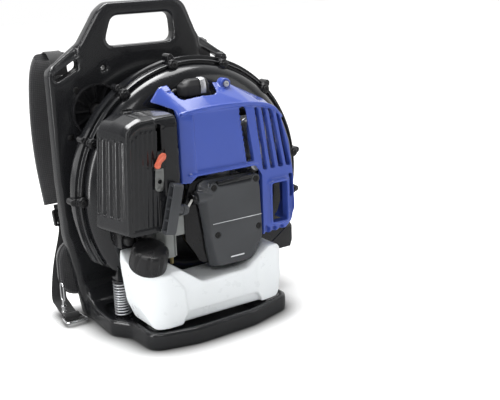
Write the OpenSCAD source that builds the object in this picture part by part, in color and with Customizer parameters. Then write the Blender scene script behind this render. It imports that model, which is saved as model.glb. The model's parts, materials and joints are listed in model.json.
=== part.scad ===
// Backpack leaf blower: a two-stroke engine and a scroll fan on a moulded backpack frame.
// +X is the wearer's right, +Y the way the wearer faces, +Z up. The origin is the centre of the
// base's bottom face. The engine hangs on the -Y side, the harness is on the +Y side.

/* [Backpack frame] */
// Height of the top of the carry handle above the ground
frame_h = 500; // [490:1:515]
// Width of the frame plate at the shoulders
frame_w = 316; // [306:1:324]
// Thickness of the frame plate
frame_t = 24; // [20:1:26]
// Front face of the frame plate, along Y
frame_y = 83; // [82:0.5:86]
// Height of the base tray
base_h = 27; // [22:1:28]

/* [Fan casing] */
// Centre of the casing rim, along X
rim_x = 31; // [28:1:34]
// Centre of the casing rim, along Z
rim_z = 212; // [208:1:216]
// Radius of the casing rim
rim_r = 204; // [200:1:207]
// Parting plane of the two casing shells, along Y
rim_y = 15; // [14:0.5:16]
// Wall thickness of the casing shells
shell_t = 3; // [2:0.5:4]
// Outer radius of the fan
fan_r = 106; // [90:1:107]
// Blades on the fan
fan_blades = 18; // [8:1:20]

/* [Engine] */
// Crankshaft axis, along X
axis_x = 40; // [39:0.5:41]
// Crankshaft axis, along Z
axis_z = 188; // [187:0.5:190]
// Cylinder axis, along Y
cyl_y = -36; // [-36.5:0.1:-35.5]
// Cylinder bore radius
bore_r = 22; // [20:0.5:22.5]
// Piston stroke
stroke = 34; // [30:1:34]
// Length of the connecting rod between its eyes
rod_l = 70; // [69:0.5:71]
// Cooling fins on the cylinder
fins = 9; // [6:1:10]

/* [Starter] */
// Radius at which the rope winds on the pulley
pulley_r = 32; // [30:0.5:33]
// Length of the starter grip
grip_l = 76; // [65:1:82]
// Diameter of the starter rope
rope_d = 3.5; // [3:0.1:4]

/* [Fuel tank] */
// Wall of the tank
tank_t = 3; // [2:0.5:4]
// Radius of the fuel cap
cap_r = 28; // [25:0.5:29]
// Forward lean of the filler neck in degrees
cap_tilt = 25; // [20:1:28]

/* [Outlet] */
// Outer radius of the outlet spigot
outlet_r = 36; // [32:0.5:37]
// Length of the spigot that the blower hose slides over
outlet_l = 30; // [24:1:32]

/* [Suspension springs] */
// Mean radius of each spring
spring_r = 12.6; // [11:0.1:13]
// Diameter of the spring wire
wire_d = 2.8; // [2.2:0.1:3]
// Turns of each spring
spring_turns = 15; // [10:1:16]

/* [Hidden] */
$fn = 64;
eps = 0.01;      // overshoot of a cut past a face
gap = 0.3;       // room between solids on different bodies
frame_x = -8;    // middle of the frame plate
frame_back = frame_y + frame_t;
hw = frame_w / 2;
harness_x = 130; // each strap's distance from the frame's middle
fillet_r = 35;   // sweep between the tray and the frame plate

// Shoulder strap over the top bar and down the wearer's chest, seen from the side (y, z)
strap_line = [[frame_back + 7, 392], [frame_back + 14, 414], [frame_back + 34, 420],
    [frame_back + 62, 388], [frame_back + 76, 320], [frame_back + 72, 250], [frame_back + 50, 180]];
strap_t = 12;
web_w = 25;      // width of the webbing
ring_y = 92;     // the roll of webbing, with its ring, on the ground beside the frame
ring_z = 6.5;
hook_y = frame_back - 9;

disc_y = 6;                             // engine side of the casing's mounting wall
bulge_h = 24;                           // how far the front shell bulges ahead of that wall
clip_angles = [178, 152, 126, 99, 72, 45, 7, -12];
elbow_y = [-16, 68];
outlet_at = [192, 109];
cup_places = [[-95, 338], [86, 338]];   // isolator cups on the frame
low_mounts = [[-98, 112], [96, 112]];   // lower isolators

crank_r = stroke / 2;
pin_z = axis_z + crank_r + rod_l;       // gudgeon pin at top dead centre
crown_z = pin_z + 18;                   // piston crown at top dead centre
case_r = 44;                            // outside of the crankcase barrel
deck_z = axis_z + case_r;               // crankcase deck that the cylinder stands on
head_z = crown_z + 42;                  // top of the cylinder head
port_z = 262;                           // height of the inlet and exhaust ports
journal_r = 8.45;
bearing_r = 8.5;
web_r = 32;                             // crank webs
rod_w = 7.4;
plug_x = 30;                            // spark plug
lead_line = [[-25, -2, 204], [-25, -2, 225], [-25, -4, 250], [-25, -9, 275], [-25, -18, 295],
    [-25, -26, 312], [-25.5, -29.5, 330], [-26.5, -29.5, 348], [-25.5, -29.5, 361],
    [-22, -29.5, 368.5], [-18, -29.5, 371], [-14.3, -29.5, 371.3]];

// The blades lean back from the fan's eye and end at its rim
eye_r = 62;
blade_lean = 32;
blade_l = sqrt(pow(fan_r - 1, 2) - pow(eye_r * sin(blade_lean), 2)) - eye_r * cos(blade_lean);

recoil_front = -88;
recoil_back = -60;
recoil_screw_places = [[22, 227], [84, 231], [26, 147], [86, 156]];
pulley_y = -78;
rope_z = axis_z + pulley_r;
guide_at = [-16, -79, rope_z - 5];      // eye that the rope leaves through
grip_at = [-70, -101.5, 214];           // middle of the starter grip
grip_tilt = 14;                         // lean of the grip in the XZ plane

spring_x = 113;                         // springs' distance from the middle of the base
spring_y = -2;
spring_z = [base_h + 1, 84];            // lower and upper seat

cap_seat = [-103, -73, 126];
tank_back = -30;
tank_front = -98;
hose_line = [[-42, -37, 106.5], [-42, -37, 130], [-42, -36, 155], [-41, -35, 180], [-38, -34, 200],
    [-33, -34, 216], [-29, -34, 229]];

box_top = 347;
box_left = -139;
box_split = -86;                        // parting of the filter cover
box_right = -50;
box_front = -92;
box_back = -20;
choke_at = [-83.7, box_front - 2, 287];
primer_at = [-121, -53, 164];
knob_at = [-106, -46, box_top - 3];

cover_y = [-85, -34];
boss_at = [63, 375];                    // screw boss at the cover's top

// ---- shared helpers ----

function unit(v) = v / norm(v);

// Points of one rounded corner: b is the corner, a and c its neighbours
function corner(a, b, c, r, n = 5) =
    let (u = unit(a - b), v = unit(c - b), half = acos(max(-0.9999, min(0.9999, u * v))) / 2,
         m = b + unit(u + v) * r / sin(half), s = b + u * r / tan(half) - m,
         e = b + v * r / tan(half) - m, a0 = atan2(s[1], s[0]), turn = atan2(e[1], e[0]) - a0,
         sweep = turn > 180 ? turn - 360 : turn < -180 ? turn + 360 : turn)
    [for (i = [0:n]) m + r * [cos(a0 + sweep * i / n), sin(a0 + sweep * i / n)]];

// Closed outline through points [x, y, corner radius]
function rounded(p) = [for (i = [0:len(p) - 1])
    let (k = len(p), a = p[(i + k - 1) % k], b = p[i], c = p[(i + 1) % k])
    each (b[2] > 0 ? corner([a[0], a[1]], [b[0], b[1]], [c[0], c[1]], b[2]) : [[b[0], b[1]]])];

// Outline of a rectangle with rounded corners
function box_outline(x0, y0, x1, y1, r) =
    rounded([[x0, y0, r], [x1, y0, r], [x1, y1, r], [x0, y1, r]]);

// Front view outline (x, z) pushed from y0 to y1
module along_y(y0, y1) translate([0, y1, 0]) rotate([90, 0, 0]) linear_extrude(y1 - y0) children();

// Side view outline (y, z) pushed from x0 to x1
module along_x(x0, x1) translate([x0, 0, 0]) rotate([90, 0, 90]) linear_extrude(x1 - x0) children();

// Cylinder along Y
module rod_y(x, z, y0, y1, r) translate([x, y0, z]) rotate([-90, 0, 0]) cylinder(h = y1 - y0, r = r);

// Cylinder along X
module rod_x(y, z, x0, x1, r) translate([x0, y, z]) rotate([0, 90, 0]) cylinder(h = x1 - x0, r = r);

// Profile (radius, y) turned about an axis along Y
module turn_y(x, z) translate([x, 0, z]) rotate([-90, 0, 0]) rotate_extrude($fn = 96) children();

// Block between two opposite corners
module block(a, b) translate(a) cube(b - a);

// Cylinder between two points
module bar(a, b, r) {
    v = b - a;
    translate(a) rotate([0, acos(v[2] / norm(v)), atan2(v[1], v[0])]) cylinder(h = norm(v), r = r);
}

// Tube of n sides swept along points p
module swept(p, r, n = 8) {
    k = len(p);
    rings = [for (i = [0:k - 1])
        let (t = unit(p[min(i + 1, k - 1)] - p[max(i - 1, 0)]), side = unit(cross(t, [0.13, 0.2, 1])),
             up = cross(side, t))
        each [for (j = [0:n - 1]) p[i] + r * (cos(360 * j / n) * side + sin(360 * j / n) * up)]];
    walls = [for (i = [0:k - 2]) for (j = [0:n - 1])
        let (a = i * n + j, b = i * n + (j + 1) % n) each [[a, b, b + n], [a, b + n, a + n]]];
    first = [[for (j = [n - 1:-1:0]) j]];
    last = [[for (j = [0:n - 1]) (k - 1) * n + j]];
    polyhedron(points = rings, faces = concat(walls, first, last), convexity = 8);
}

// Flat closed wire through the points of outline p, in the plane at height z
module wire_loop(p, z, r, n = 8) {
    k = len(p);
    rings = [for (i = [0:k - 1])
        let (t = unit(p[(i + 1) % k] - p[(i + k - 1) % k]), side = [-t[1], t[0], 0])
        each [for (j = [0:n - 1]) [p[i][0], p[i][1], z] + r * (cos(360 * j / n) * side
            + sin(360 * j / n) * [0, 0, 1])]];
    polyhedron(points = rings, faces = [for (i = [0:k - 1]) for (j = [0:n - 1])
        let (a = i * n + j, b = i * n + (j + 1) % n, c = ((i + 1) % k) * n)
        each [[a, c + (j + 1) % n, b], [a, c + j, c + (j + 1) % n]]], convexity = 4);
}

// ---- backpack frame and harness ----

module frame_outline() polygon(rounded([
    [frame_x - hw + 29, 0, 0], [frame_x - hw + 17, 74, 20], [frame_x - hw + 4, 140, 60],
    [frame_x - hw, 230, 80], [frame_x - hw - 1, 404, 12], [frame_x - 104, 441, 12],
    [-80, 488, 14], [-64, frame_h, 14], [64, frame_h, 16], [76, 488, 14],
    [frame_x + 104, 441, 12], [frame_x + hw + 1, 404, 12], [frame_x + hw, 230, 80],
    [frame_x + hw - 12, 168, 20], [frame_x + hw - 17, 74, 20], [frame_x + hw - 29, 0, 0]]));

module strap_slot(side) polygon(rounded([[frame_x + side * 149, 385, 4],
    [frame_x + side * 149, 397, 4], [frame_x + side * 109, 420, 4], [frame_x + side * 109, 404, 4]]));

module base_outline() polygon(rounded([[-133, 113, 14], [-138, 21, 40], [-139, -8, 12],
    [-119, -38, 14], [-117, -100, 22], [-44, -117, 60], [60, -113, 60], [144, -88, 20],
    [144, -20, 20], [128, 20, 20], [121, 113, 14]]));

module backpack_frame() color([0.15, 0.16, 0.17]) difference() {
    union() {
        difference() {
            along_y(frame_y, frame_back) frame_outline();
            along_y(frame_y - 1, frame_back + 1) {
                polygon(rounded([[-72, 433, 12], [54, 433, 12], [50, 479, 12], [-56, 479, 12]]));
                strap_slot(-1);
                strap_slot(1);
                translate([-75, 401]) circle(r = 5);
            }
        }
        linear_extrude(base_h) base_outline();
        along_x(frame_x - hw + 29, frame_x + hw - 29) fillet_outline();
    }
    for (m = cup_places) rod_y(m[0], m[1], frame_y - 1, frame_back + 1, 4);
    for (m = low_mounts) rod_y(m[0], m[1], frame_y - 1, frame_back + 1, 4);
}

// Concave sweep that joins the tray to the frame plate
module fillet_outline() polygon(concat([[frame_y + 1, base_h - 1], [frame_y + 1, base_h + fillet_r]],
    [for (i = [0:8]) [frame_y - fillet_r, base_h + fillet_r]
        + fillet_r * [cos(-90 * i / 8), sin(-90 * i / 8)]], [[frame_y - fillet_r, base_h - 1]]));

module back_pad() color([0.1, 0.1, 0.11]) along_y(frame_back + gap, frame_back + 24)
    polygon(box_outline(frame_x - 92, 165, frame_x + 92, 378, 28));

module lumbar_pad() color([0.1, 0.1, 0.11]) along_y(frame_back + gap, frame_back + 28)
    polygon(box_outline(frame_x - 156, 34, frame_x + 156, 128, 30));

module strap_section() {
    k = len(strap_line);
    function side(i, s) = let (d = unit(strap_line[min(i + 1, k - 1)] - strap_line[max(i - 1, 0)]))
        strap_line[i] + s * strap_t / 2 * [-d[1], d[0]];
    polygon(concat([for (i = [0:k - 1]) side(i, 1)], [for (i = [k - 1:-1:0]) side(i, -1)]));
}
module shoulder_strap(side) color([0.11, 0.11, 0.12]) {
    x = frame_x + side * harness_x;
    along_x(x - 27, x + 27) strap_section();
}
module shoulder_strap_left() shoulder_strap(-1);
module shoulder_strap_right() shoulder_strap(1);

// Lower webbing: behind the lumbar pad, then forward under it to the roll beside the frame
function harness_side(side) = frame_x + side * harness_x;
function web_side(side) = frame_x + side * 154;
module web_patch(x, y, z) block([x - web_w / 2, y, z], [x + web_w / 2, y + 2.5, z + 2]);
module upper_web(side) hull() {
    web_patch(harness_side(side), frame_back + 46, 178);
    web_patch(harness_side(side), frame_back + 34, 136);
}
module lower_webbing() color([0.09, 0.09, 0.1]) for (side = [-1, 1]) {
    low_x = web_side(side);
    upper_web(side);
    hull() {
        web_patch(harness_side(side), frame_back + 34, 136);
        web_patch(low_x, frame_back + 30, 28);
    }
    hull() {
        web_patch(low_x, frame_back + 30, 28);
        web_patch(low_x, ring_y + 4.5, ring_z);
    }
    difference() {
        rod_x(ring_y, ring_z, low_x - web_w / 2, low_x + web_w / 2, 6.2);
        rod_x(ring_y, ring_z, low_x - web_w, low_x + web_w, 2.6);
    }
}

// Buckle with two slots; the webbing is threaded behind its middle bar
module strap_adjusters() color([0.12, 0.12, 0.13]) for (side = [-1, 1]) difference() {
    translate([harness_side(side), frame_back + 41, 158]) rotate([-16, 0, 0]) difference() {
        along_y(-4, 4) polygon(box_outline(-17, -14, 17, 14, 4));
        for (z = [-10, 2]) block([-13.2, -9, z], [13.2, 9, z + 8]);
    }
    upper_web(side);
}

// Snap hook standing beside the frame and the wire ring that the webbing is rolled on
module strap_hook(side) color([0.75, 0.76, 0.78]) {
    x = frame_x + side * 163;
    difference() {
        along_x(x - 1.6, x + 1.6) polygon(box_outline(hook_y - 8, 25, hook_y + 8, 65, 7.5));
        along_x(x - 3, x + 3) polygon(box_outline(hook_y - 4.6, 33, hook_y + 4.6, 61, 4.2));
    }
    translate([x, hook_y, 13.5]) cylinder(h = 12, r = 4.2);
}
module strap_hook_left() strap_hook(-1);
module strap_hook_right() strap_hook(1);

module webbing_ring(side) color([0.7, 0.71, 0.72]) {
    x = web_side(side);
    wire_loop(rounded([[x - 19, ring_y - 26, 5], [x - 15, ring_y, 5], [x + 15, ring_y, 5],
        [x + 19, ring_y - 26, 5]]), ring_z, 2);
}
module webbing_ring_left() webbing_ring(-1);
module webbing_ring_right() webbing_ring(1);

// ---- fan casing ----

// Region under the casing, raised by d: clear of both springs and close under the fan
module under_casing(d) polygon([[-300, 206 + d * 1.15], [-30, 50 + d], [66 - d / 2, 50 + d],
    [97 - d / 2, 91 + d], [320, 91 + d], [320, -100], [-300, -100]]);

// Wall of the front shell as (radius, y): flange, bulge, inner wall and mounting wall
function front_bulge(d) = concat([for (i = [0:8]) let (a = 90 * i / 8)
    [158 + (rim_r - 8 - 158 - d) * cos(a), disc_y - (bulge_h - d) * sin(a)]],
    [[142 + d / 2, disc_y - bulge_h + d], [122 + d, disc_y + d]]);
module volute_front_shell() color([0.1, 0.105, 0.11]) {
    difference() {
        turn_y(rim_x, rim_z) polygon(concat([[rim_r - 6 - shell_t, rim_y], [rim_r, rim_y],
            [rim_r, rim_y - 4], [rim_r - 8, rim_y - 4]], front_bulge(0), [[0, disc_y],
            [0, disc_y + shell_t]], [for (i = [len(front_bulge(shell_t)) - 1:-1:0])
            front_bulge(shell_t)[i]]));
        along_y(-60, 60) under_casing(0);
        rod_y(axis_x, axis_z, -50, 50, 24);
        outlet_window();
    }
    casing_floor() front_space();
}

// Space that each shell encloses, filled, with its surface moved in by d
module front_space(d = 0) turn_y(rim_x, rim_z) polygon(concat([[0, rim_y], [rim_r - 8 - d, rim_y]],
    front_bulge(d), [[0, disc_y + d]]));
module rear_space() turn_y(rim_x, rim_z) polygon(concat([[0, rim_y], [rim_r - 8, rim_y]],
    rear_bulge(0), [[0, 68]]));

// Floor strip that closes the cut side of the casing
module casing_floor() difference() {
    intersection() {
        along_y(-60, 90) under_casing(shell_t);
        children();
    }
    along_y(-61, 91) under_casing(0);
    outlet_window();
}

// Opening for the outlet, 1 mm clear of it
module outlet_window() {
    outlet_room(-1);
    block([139, -60, 60], [320, 70, 112]);
}

function rear_bulge(d) = [for (i = [0:8]) let (a = 90 * i / 8)
    [174 + (rim_r - 8 - 174 - d) * cos(a), 40 + (28 - d) * sin(a)]];
module volute_rear_shell() color([0.1, 0.105, 0.11]) {
    difference() {
        turn_y(rim_x, rim_z) polygon(concat([[rim_r - 6 - shell_t, rim_y], [rim_r, rim_y],
            [rim_r, rim_y + 4], [rim_r - 8, rim_y + 4]], rear_bulge(0), [[0, 68], [0, 68 - shell_t]],
            [for (i = [8:-1:0]) rear_bulge(shell_t)[i]]));
        along_y(0, 90) under_casing(0);
        rod_y(axis_x, axis_z, 20, 100, 78);
        outlet_window();
    }
    casing_floor() rear_space();
}

// Outlet: a throat out of the casing that widens rearwards to a round spigot facing +Y.
// Each section is moved in by d.
function throat(d, right, low, top) = [[139, 94 + d], [175, low + d], [right - 4 - d, low + d],
    [right - d, low + 11], [right - d, top - d], [139, top - d]];
module outlet_room(d) hull() {
    along_y(elbow_y[0] + d, elbow_y[0] + d + 1) polygon(throat(d, 207, 76, 113));
    along_y(elbow_y[1] - d - 1, elbow_y[1] - d) polygon(throat(d, 228, 67, 147));
}
module outlet_elbow() color([0.12, 0.125, 0.13]) difference() {
    union() {
        outlet_room(0);
        rod_y(outlet_at[0], outlet_at[1], elbow_y[1] - eps, elbow_y[1] + outlet_l, outlet_r);
    }
    translate([-1, 0, 0]) outlet_room(3);
    rod_y(outlet_at[0], outlet_at[1], elbow_y[1] - 4, elbow_y[1] + outlet_l + 1, outlet_r - 3);
}

module casing_clips() color([0.07, 0.07, 0.08]) for (a = clip_angles)
    translate([rim_x, 0, rim_z]) rotate([0, -a, 0]) difference() {
        block([rim_r - 7.9, rim_y - 9, -8], [rim_r + 6, rim_y + 9, 8]);
        block([rim_r - 9, rim_y - 4, -9], [rim_r, rim_y + 4, 9]);
    }

module intake_net() color([0.09, 0.09, 0.1]) {
    difference() {
        rod_y(axis_x, axis_z, 68, 74, 84);
        rod_y(axis_x, axis_z, 67, 75, 78);
    }
    difference() {
        rod_y(axis_x, axis_z, 70, 73, 30);
        rod_y(axis_x, axis_z, 69, 74, 24);
    }
    for (i = [0:11]) translate([axis_x, 0, axis_z]) rotate([0, 30 * i, 0])
        block([28, 70.5, -1.5], [80, 72.5, 1.5]);
}

// Ribbed cups that hold the upper isolators against the frame
module mount_cups() color([0.08, 0.08, 0.09]) for (m = cup_places) {
    difference() {
        rod_y(m[0], m[1], 72, frame_y, 42);
        rod_y(m[0], m[1], 71, frame_y - 3, 39);
        rod_y(m[0], m[1], 60, frame_y + 1, 11);
    }
    difference() {
        for (i = [0:11]) translate([m[0], 0, m[1]]) rotate([0, 30 * i, 0])
            block([14, 75, -1], [40, frame_y - 2, 1]);
        rod_y(m[0], m[1], 60, frame_y + 1, 11);
    }
}

module rubber_mounts() color([0.05, 0.05, 0.05]) {
    for (m = concat(cup_places, low_mounts)) difference() {
        rod_y(m[0], m[1], 68, frame_y, 10);
        rod_y(m[0], m[1], 74, frame_y + 1, 4);
    }
    for (x = [-84, 90]) block([x - 12, -80, base_h], [x + 12, -52, base_h + 2]);
}

// ---- suspension ----

module spring(x) swept([for (i = [0:spring_turns * 8]) let (a = 45 * i)
    [x + spring_r * cos(a), spring_y + spring_r * sin(a), spring_z[0] + wire_d / 2
        + (spring_z[1] - spring_z[0] - wire_d) * i / (spring_turns * 8)]], wire_d / 2, 6);
module suspension_springs() color([0.72, 0.73, 0.75]) for (side = [-1, 1]) spring(side * spring_x);

module spring_seats() color([0.06, 0.06, 0.07]) for (side = [-1, 1]) {
    translate([side * spring_x, spring_y, base_h]) cylinder(h = 1, r = 15);
    translate([side * spring_x, spring_y, base_h]) cylinder(h = 20, r = 8);
    translate([side * spring_x, spring_y, spring_z[1] - 16]) cylinder(h = 16, r = 8);
}

module support_legs() color([0.1, 0.105, 0.11]) for (side = [-1, 1]) {
    x = side * spring_x;
    difference() {
        union() {
            translate([x, spring_y, spring_z[1]]) cylinder(h = 4, r = 15);
            along_y(-12, 8) polygon([[x - 11, spring_z[1] + 3], [x + 11, spring_z[1] + 3],
                [x + 13, 168], [x - 9, 168]]);
        }
        front_space(-0.2);
        rod_y(rim_x, rim_z, rim_y - 4.2, rim_y + 20, rim_r + 0.2);
    }
}

// ---- engine ----

module crankcase() color([0.55, 0.56, 0.57]) difference() {
    union() {
        rod_y(axis_x, axis_z, -60, -14, case_r);
        block([axis_x - 32, -60, axis_z], [axis_x + 32, -14, deck_z]);
        for (s = [-1, 1], t = [-1, 1])
            rod_y(axis_x + 44 * s, axis_z + 38 * t, -22, disc_y, 7);
        block([axis_x - 50, -22, axis_z - 44], [axis_x + 50, -16, axis_z + 44]);
    }
    rod_y(axis_x, axis_z, -50, -22, 38);
    rod_y(axis_x, axis_z, -61, -49, 16);
    rod_y(axis_x, axis_z, -23, -13, 16);
    translate([axis_x, cyl_y, axis_z]) cylinder(h = 60, r = bore_r + 1);
}

module main_bearings() color([0.7, 0.71, 0.72]) for (y = [-58, -22]) difference() {
    rod_y(axis_x, axis_z, y, y + 8, 16);
    rod_y(axis_x, axis_z, y - 1, y + 9, bearing_r);
}

module cylinder_unit() {
    translate([axis_x, cyl_y, deck_z]) cylinder(h = head_z - deck_z, r = bore_r + 5);
    block([axis_x - 30, cyl_y - 24, deck_z], [axis_x + 30, cyl_y + 24, deck_z + 6]);
    for (i = [0:fins - 1]) translate([axis_x, cyl_y, deck_z + 17 + i * 9.6])
        linear_extrude(2.6) polygon(box_outline(-34, -26, 34, 26, 12));
    rod_x(cyl_y, port_z, axis_x - 38, axis_x - 10, 15);
    rod_x(cyl_y, port_z, axis_x + 10, axis_x + 40, 14);
}
module cylinder_block() color([0.66, 0.67, 0.68]) difference() {
    cylinder_unit();
    translate([axis_x, cyl_y, deck_z - 1]) cylinder(h = crown_z + 1 - deck_z + 1, r = bore_r);
    translate([plug_x, cyl_y, crown_z - 2]) cylinder(h = 60, r = 5);
    rod_x(cyl_y, port_z, axis_x - 40, axis_x, 9);
    rod_x(cyl_y, port_z, axis_x, axis_x + 42, 9);
}

module spark_plug() color([0.85, 0.85, 0.83]) {
    translate([plug_x, cyl_y, crown_z + 4]) cylinder(h = head_z - crown_z - 4, r = 5);
    translate([plug_x, cyl_y, head_z]) cylinder(h = 8, r = 9.5, $fn = 6);
    translate([plug_x, cyl_y, head_z + 8]) cylinder(h = 24, r = 5);
}

module plug_boot() color([0.05, 0.05, 0.06]) difference() {
    union() {
        translate([plug_x, cyl_y, head_z + 12]) cylinder(h = 30, r = 11);
        translate([0, 0, head_z + 28]) linear_extrude(24)
            polygon(box_outline(-14, cyl_y - 12, plug_x + 8, cyl_y + 12, 11));
    }
    translate([plug_x, cyl_y, head_z + 11]) cylinder(h = 21 + gap, r = 5 + gap);
}

module ignition_coil() color([0.12, 0.12, 0.13]) {
    block([-34, -8, axis_z - 16], [-16, disc_y, axis_z + 16]);
    for (z = [-13, 8]) block([-16, -6, axis_z + z], [-8, 2, axis_z + z + 5]);
}
module ht_lead() color([0.06, 0.06, 0.06]) swept(lead_line, 3.2, 10);

module intake_manifold() color([0.1, 0.1, 0.1]) difference() {
    union() {
        rod_x(cyl_y, port_z, -8, axis_x - 38, 15);
        block([-10, cyl_y - 20, 244], [-6, cyl_y + 20, 280]);
    }
    rod_x(cyl_y, port_z, -12, axis_x, 9);
}

module carburetor() color([0.58, 0.59, 0.6]) difference() {
    union() {
        block([box_right, cyl_y - 19, 243], [-10, cyl_y + 19, 281]);
        rod_x(cyl_y + 4, 292, -40, -20, 5);
        block([-40, cyl_y - 14, 230], [-18, cyl_y + 14, 243]);
    }
    rod_x(cyl_y, port_z, box_right - 1, 0, 9);
}

// Air box: fixed half against the carburetor, and the cover that slides off towards -X
// Filter cover, moved in by d: its left side splays outwards to the rear
function box_section(foot, head, d) = rounded([[foot + d, 180 + d, 8], [head + d, box_top - 12 - d, 16],
    [box_split, box_top - d, 0], [box_split, 180 + d, 0]]);
module box_outer(d) hull() {
    along_y(box_front + d, box_front + d + 1) polygon(box_section(box_left, box_left + 7, d));
    along_y(box_back - d - 1, box_back - d) polygon(box_section(box_left - 18, box_left - 5, d));
}
// Left side of the filter cover at a depth and height
function box_side(y, z) = box_left - 0.25 * (y - box_front) + (z - 180) * (7 + 0.083 * (y - box_front)) / 155;
module air_box() color([0.13, 0.135, 0.14]) difference() {
    union() {
        along_y(box_front, box_back) polygon(rounded([[box_split + 4, 180, 2],
            [box_split + 4, box_top, 2], [box_right, box_top - 3, 6], [box_right, 222, 8],
            [-76, 222, 0], [-76, 180, 0]]));
        block([box_split + 0.5, box_front + 6, 200], [box_split + 5, box_back - 4, 330]);
        block([-81, box_front - 0.6, 244], [-78, box_front + 1, 272]);
    }
    block([box_split - 1, box_front + 9, 226], [box_right - 6, box_back - 7, 327]);
    rod_y(choke_at[0], choke_at[2], box_front - 1, box_front + 13, 1.35);
    rod_x(cyl_y, port_z, box_right - 10, box_right + 1, 9);
}

module filter_element() color([0.75, 0.72, 0.6]) difference() {
    block([-122, box_front + 10, 206], [box_split + 0.5, box_back - 8, 324]);
    for (i = [0:5]) block([-123, box_front + 16 + i * 9, 210], [-100, box_front + 20 + i * 9, 320]);
}

module filter_cover() color([0.12, 0.125, 0.13]) difference() {
    box_outer(0);
    box_outer(3);
    block([box_split - 2, box_front + 3, 183], [box_split + 1, box_back - 3, 340]);
    for (i = [0:4]) let (y = -84 + i * 12) hull() for (z = [206, 316])
        block([box_side(y, z) - 5, y, z], [box_side(y, z) + 0.8, y + 7, z + 1]);
    translate([knob_at[0], knob_at[1], 300]) cylinder(h = 60, r = 4 + gap);
}

module filter_knob() color([0.06, 0.06, 0.07]) {
    translate(knob_at + [0, 0, 3.6]) cylinder(h = 7, r = 9);
    translate(knob_at - [0, 0, 8]) cylinder(h = 12, r = 4);
    translate(knob_at + [-8, -1.5, 10]) cube([16, 3, 2.5]);
}

module cable_bracket() color([0.55, 0.56, 0.55]) difference() {
    along_y(box_front - 2.2, box_front - 0.6) polygon(box_outline(-93, 240, -78, 277, 4));
    rod_y(-85.5, 250, box_front - 3, box_front + 1, 3.4);
}

module choke_lever() color([0.86, 0.38, 0.28]) translate(choke_at) {
    along_y(-8, -3) polygon(rounded([[-10, -8, 3], [-1, -9, 3], [3, -1, 3], [11, 3, 3],
        [11, 10, 3], [-1, 8, 4], [-4, 0, 3], [-11, -3, 3]]));
    rod_y(0, 0, -4, 13, 1.3);
}

module primer_base() color([0.1, 0.1, 0.11]) difference() {
    union() {
        block(primer_at + [-12, 0, -11], primer_at + [12, 30, 15]);
        block([primer_at[0], -46, 169], [-76, -32, 179]);
        block([-81.5, -46, 178], [-76.5, -32, 180]);
    }
    rod_y(primer_at[0], primer_at[2], primer_at[1] - 1, primer_at[1] + 8, 9.6);
}
module primer_bulb() color([0.2, 0.2, 0.2]) translate([0, primer_at[1] + 1, 0])
    turn_y(primer_at[0], primer_at[2]) polygon(concat([[0, 2], [9.2, 2], [9.2, 0]],
        [for (i = [0:6]) [8.4 * cos(15 * i), -8.4 * sin(15 * i)]]));

module muffler() color([0.7, 0.71, 0.72]) {
    along_y(-74, -26) polygon(box_outline(86, 238, 132, 318, 12));
    rod_x(cyl_y, port_z, axis_x + 40, 87, 14);
    rod_x(-46, port_z, 131, 145, 8);
}

// Engine cover: front panel, sloping top and right side, open to the left, back and below
function cover_front(d) = rounded([[-38 + d, 150, 0], [-38 + d, 344 - d, 8], [20, 348 - d, 0],
    [88, 346 - d, 20], [138 - d, 327 - d, 16], [155 - d, 281, 40], [162 - d, 232, 30],
    [165 - d, 170, 12], [158 - d, 147 + d, 8], [145, 137 + d, 4], [100, 134 + d, 4], [-30, 142, 0]]);
function cover_rear(d) = rounded([[-64 + d, 200, 0], [-68 + d, 354 - d, 6], [-47, 381 - d, 10],
    [0, 386 - d, 0], [74, 374 - d, 30], [144 - d, 340 - d, 16], [163 - d, 281, 40],
    [170 - d, 232, 30], [173 - d, 170, 12], [166 - d, 147 + d, 8], [145, 138 + d, 4],
    [-30, 142, 0]]);
// Louvres: left and right side at the top, height of the top, left and right side at the bottom
louvres = [[89, 95.5, 341, 102.5, 110.5], [102, 109, 339, 117, 125.5],
    [115.5, 122.5, 335, 132, 141.5], [129.5, 136, 328, 147, 156]];
module cover_form(d) hull() {
    along_y(cover_y[0] + d, cover_y[0] + d + 0.5) polygon(cover_front(d));
    along_y(cover_y[1] - 0.5 + d, cover_y[1] + d) polygon(cover_rear(d));
}
module engine_cover() color([0.2, 0.26, 0.62]) difference() {
    union() {
        difference() {
            cover_form(0);
            cover_form(3);
        }
        rod_y(boss_at[0], boss_at[1], cover_y[1] - 14, cover_y[1], 8);
    }
    rod_y(boss_at[0], boss_at[1], cover_y[1] - 15, cover_y[1] + 1, 3);
    rod_x(-46, port_z, 140, 180, 10);
    // open left side, room for the starter and the underside
    block([-90, cover_y[0] - 5, 100], [-38, cover_y[1] + 9, 349]);
    along_y(cover_y[0] - 5, cover_y[1] + 9) polygon([[-60, 100], [-60, 238], [-19, 238], [-7, 250],
        [84, 250], [99.5, 240], [99.5, 100]]);
    block([-90, cover_y[0] - 5, 100], [99.5, cover_y[1] + 9, 200]);
    block([105, cover_y[0] + 6, 130], [152, cover_y[1] + 9, 147]);
    // spark plug notch at the back of the top
    translate([0, 0, 330]) linear_extrude(80)
        polygon(rounded([[-22, -62, 14], [42, -62, 14], [50, -20, 0], [-28, -20, 0]]));
    // tall slot, louvres, framed window and the scalloped edge
    along_y(cover_y[0] - 5, cover_y[0] + 5) {
        polygon([[61, 342], [72, 342], [86, 258], [73, 258]]);
        polygon(box_outline(115.5, 153, 145, 217, 4));
        for (x = [103, 116.5, 130.5]) polygon(box_outline(x, 120, x + 9.5, 148, 4));
    }
    for (s = louvres) along_y(cover_y[0] - 5, cover_y[0] + 9)
        polygon([[s[0], s[2]], [s[1], s[2]], [s[4], 240], [s[3], 240]]);
}

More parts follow.
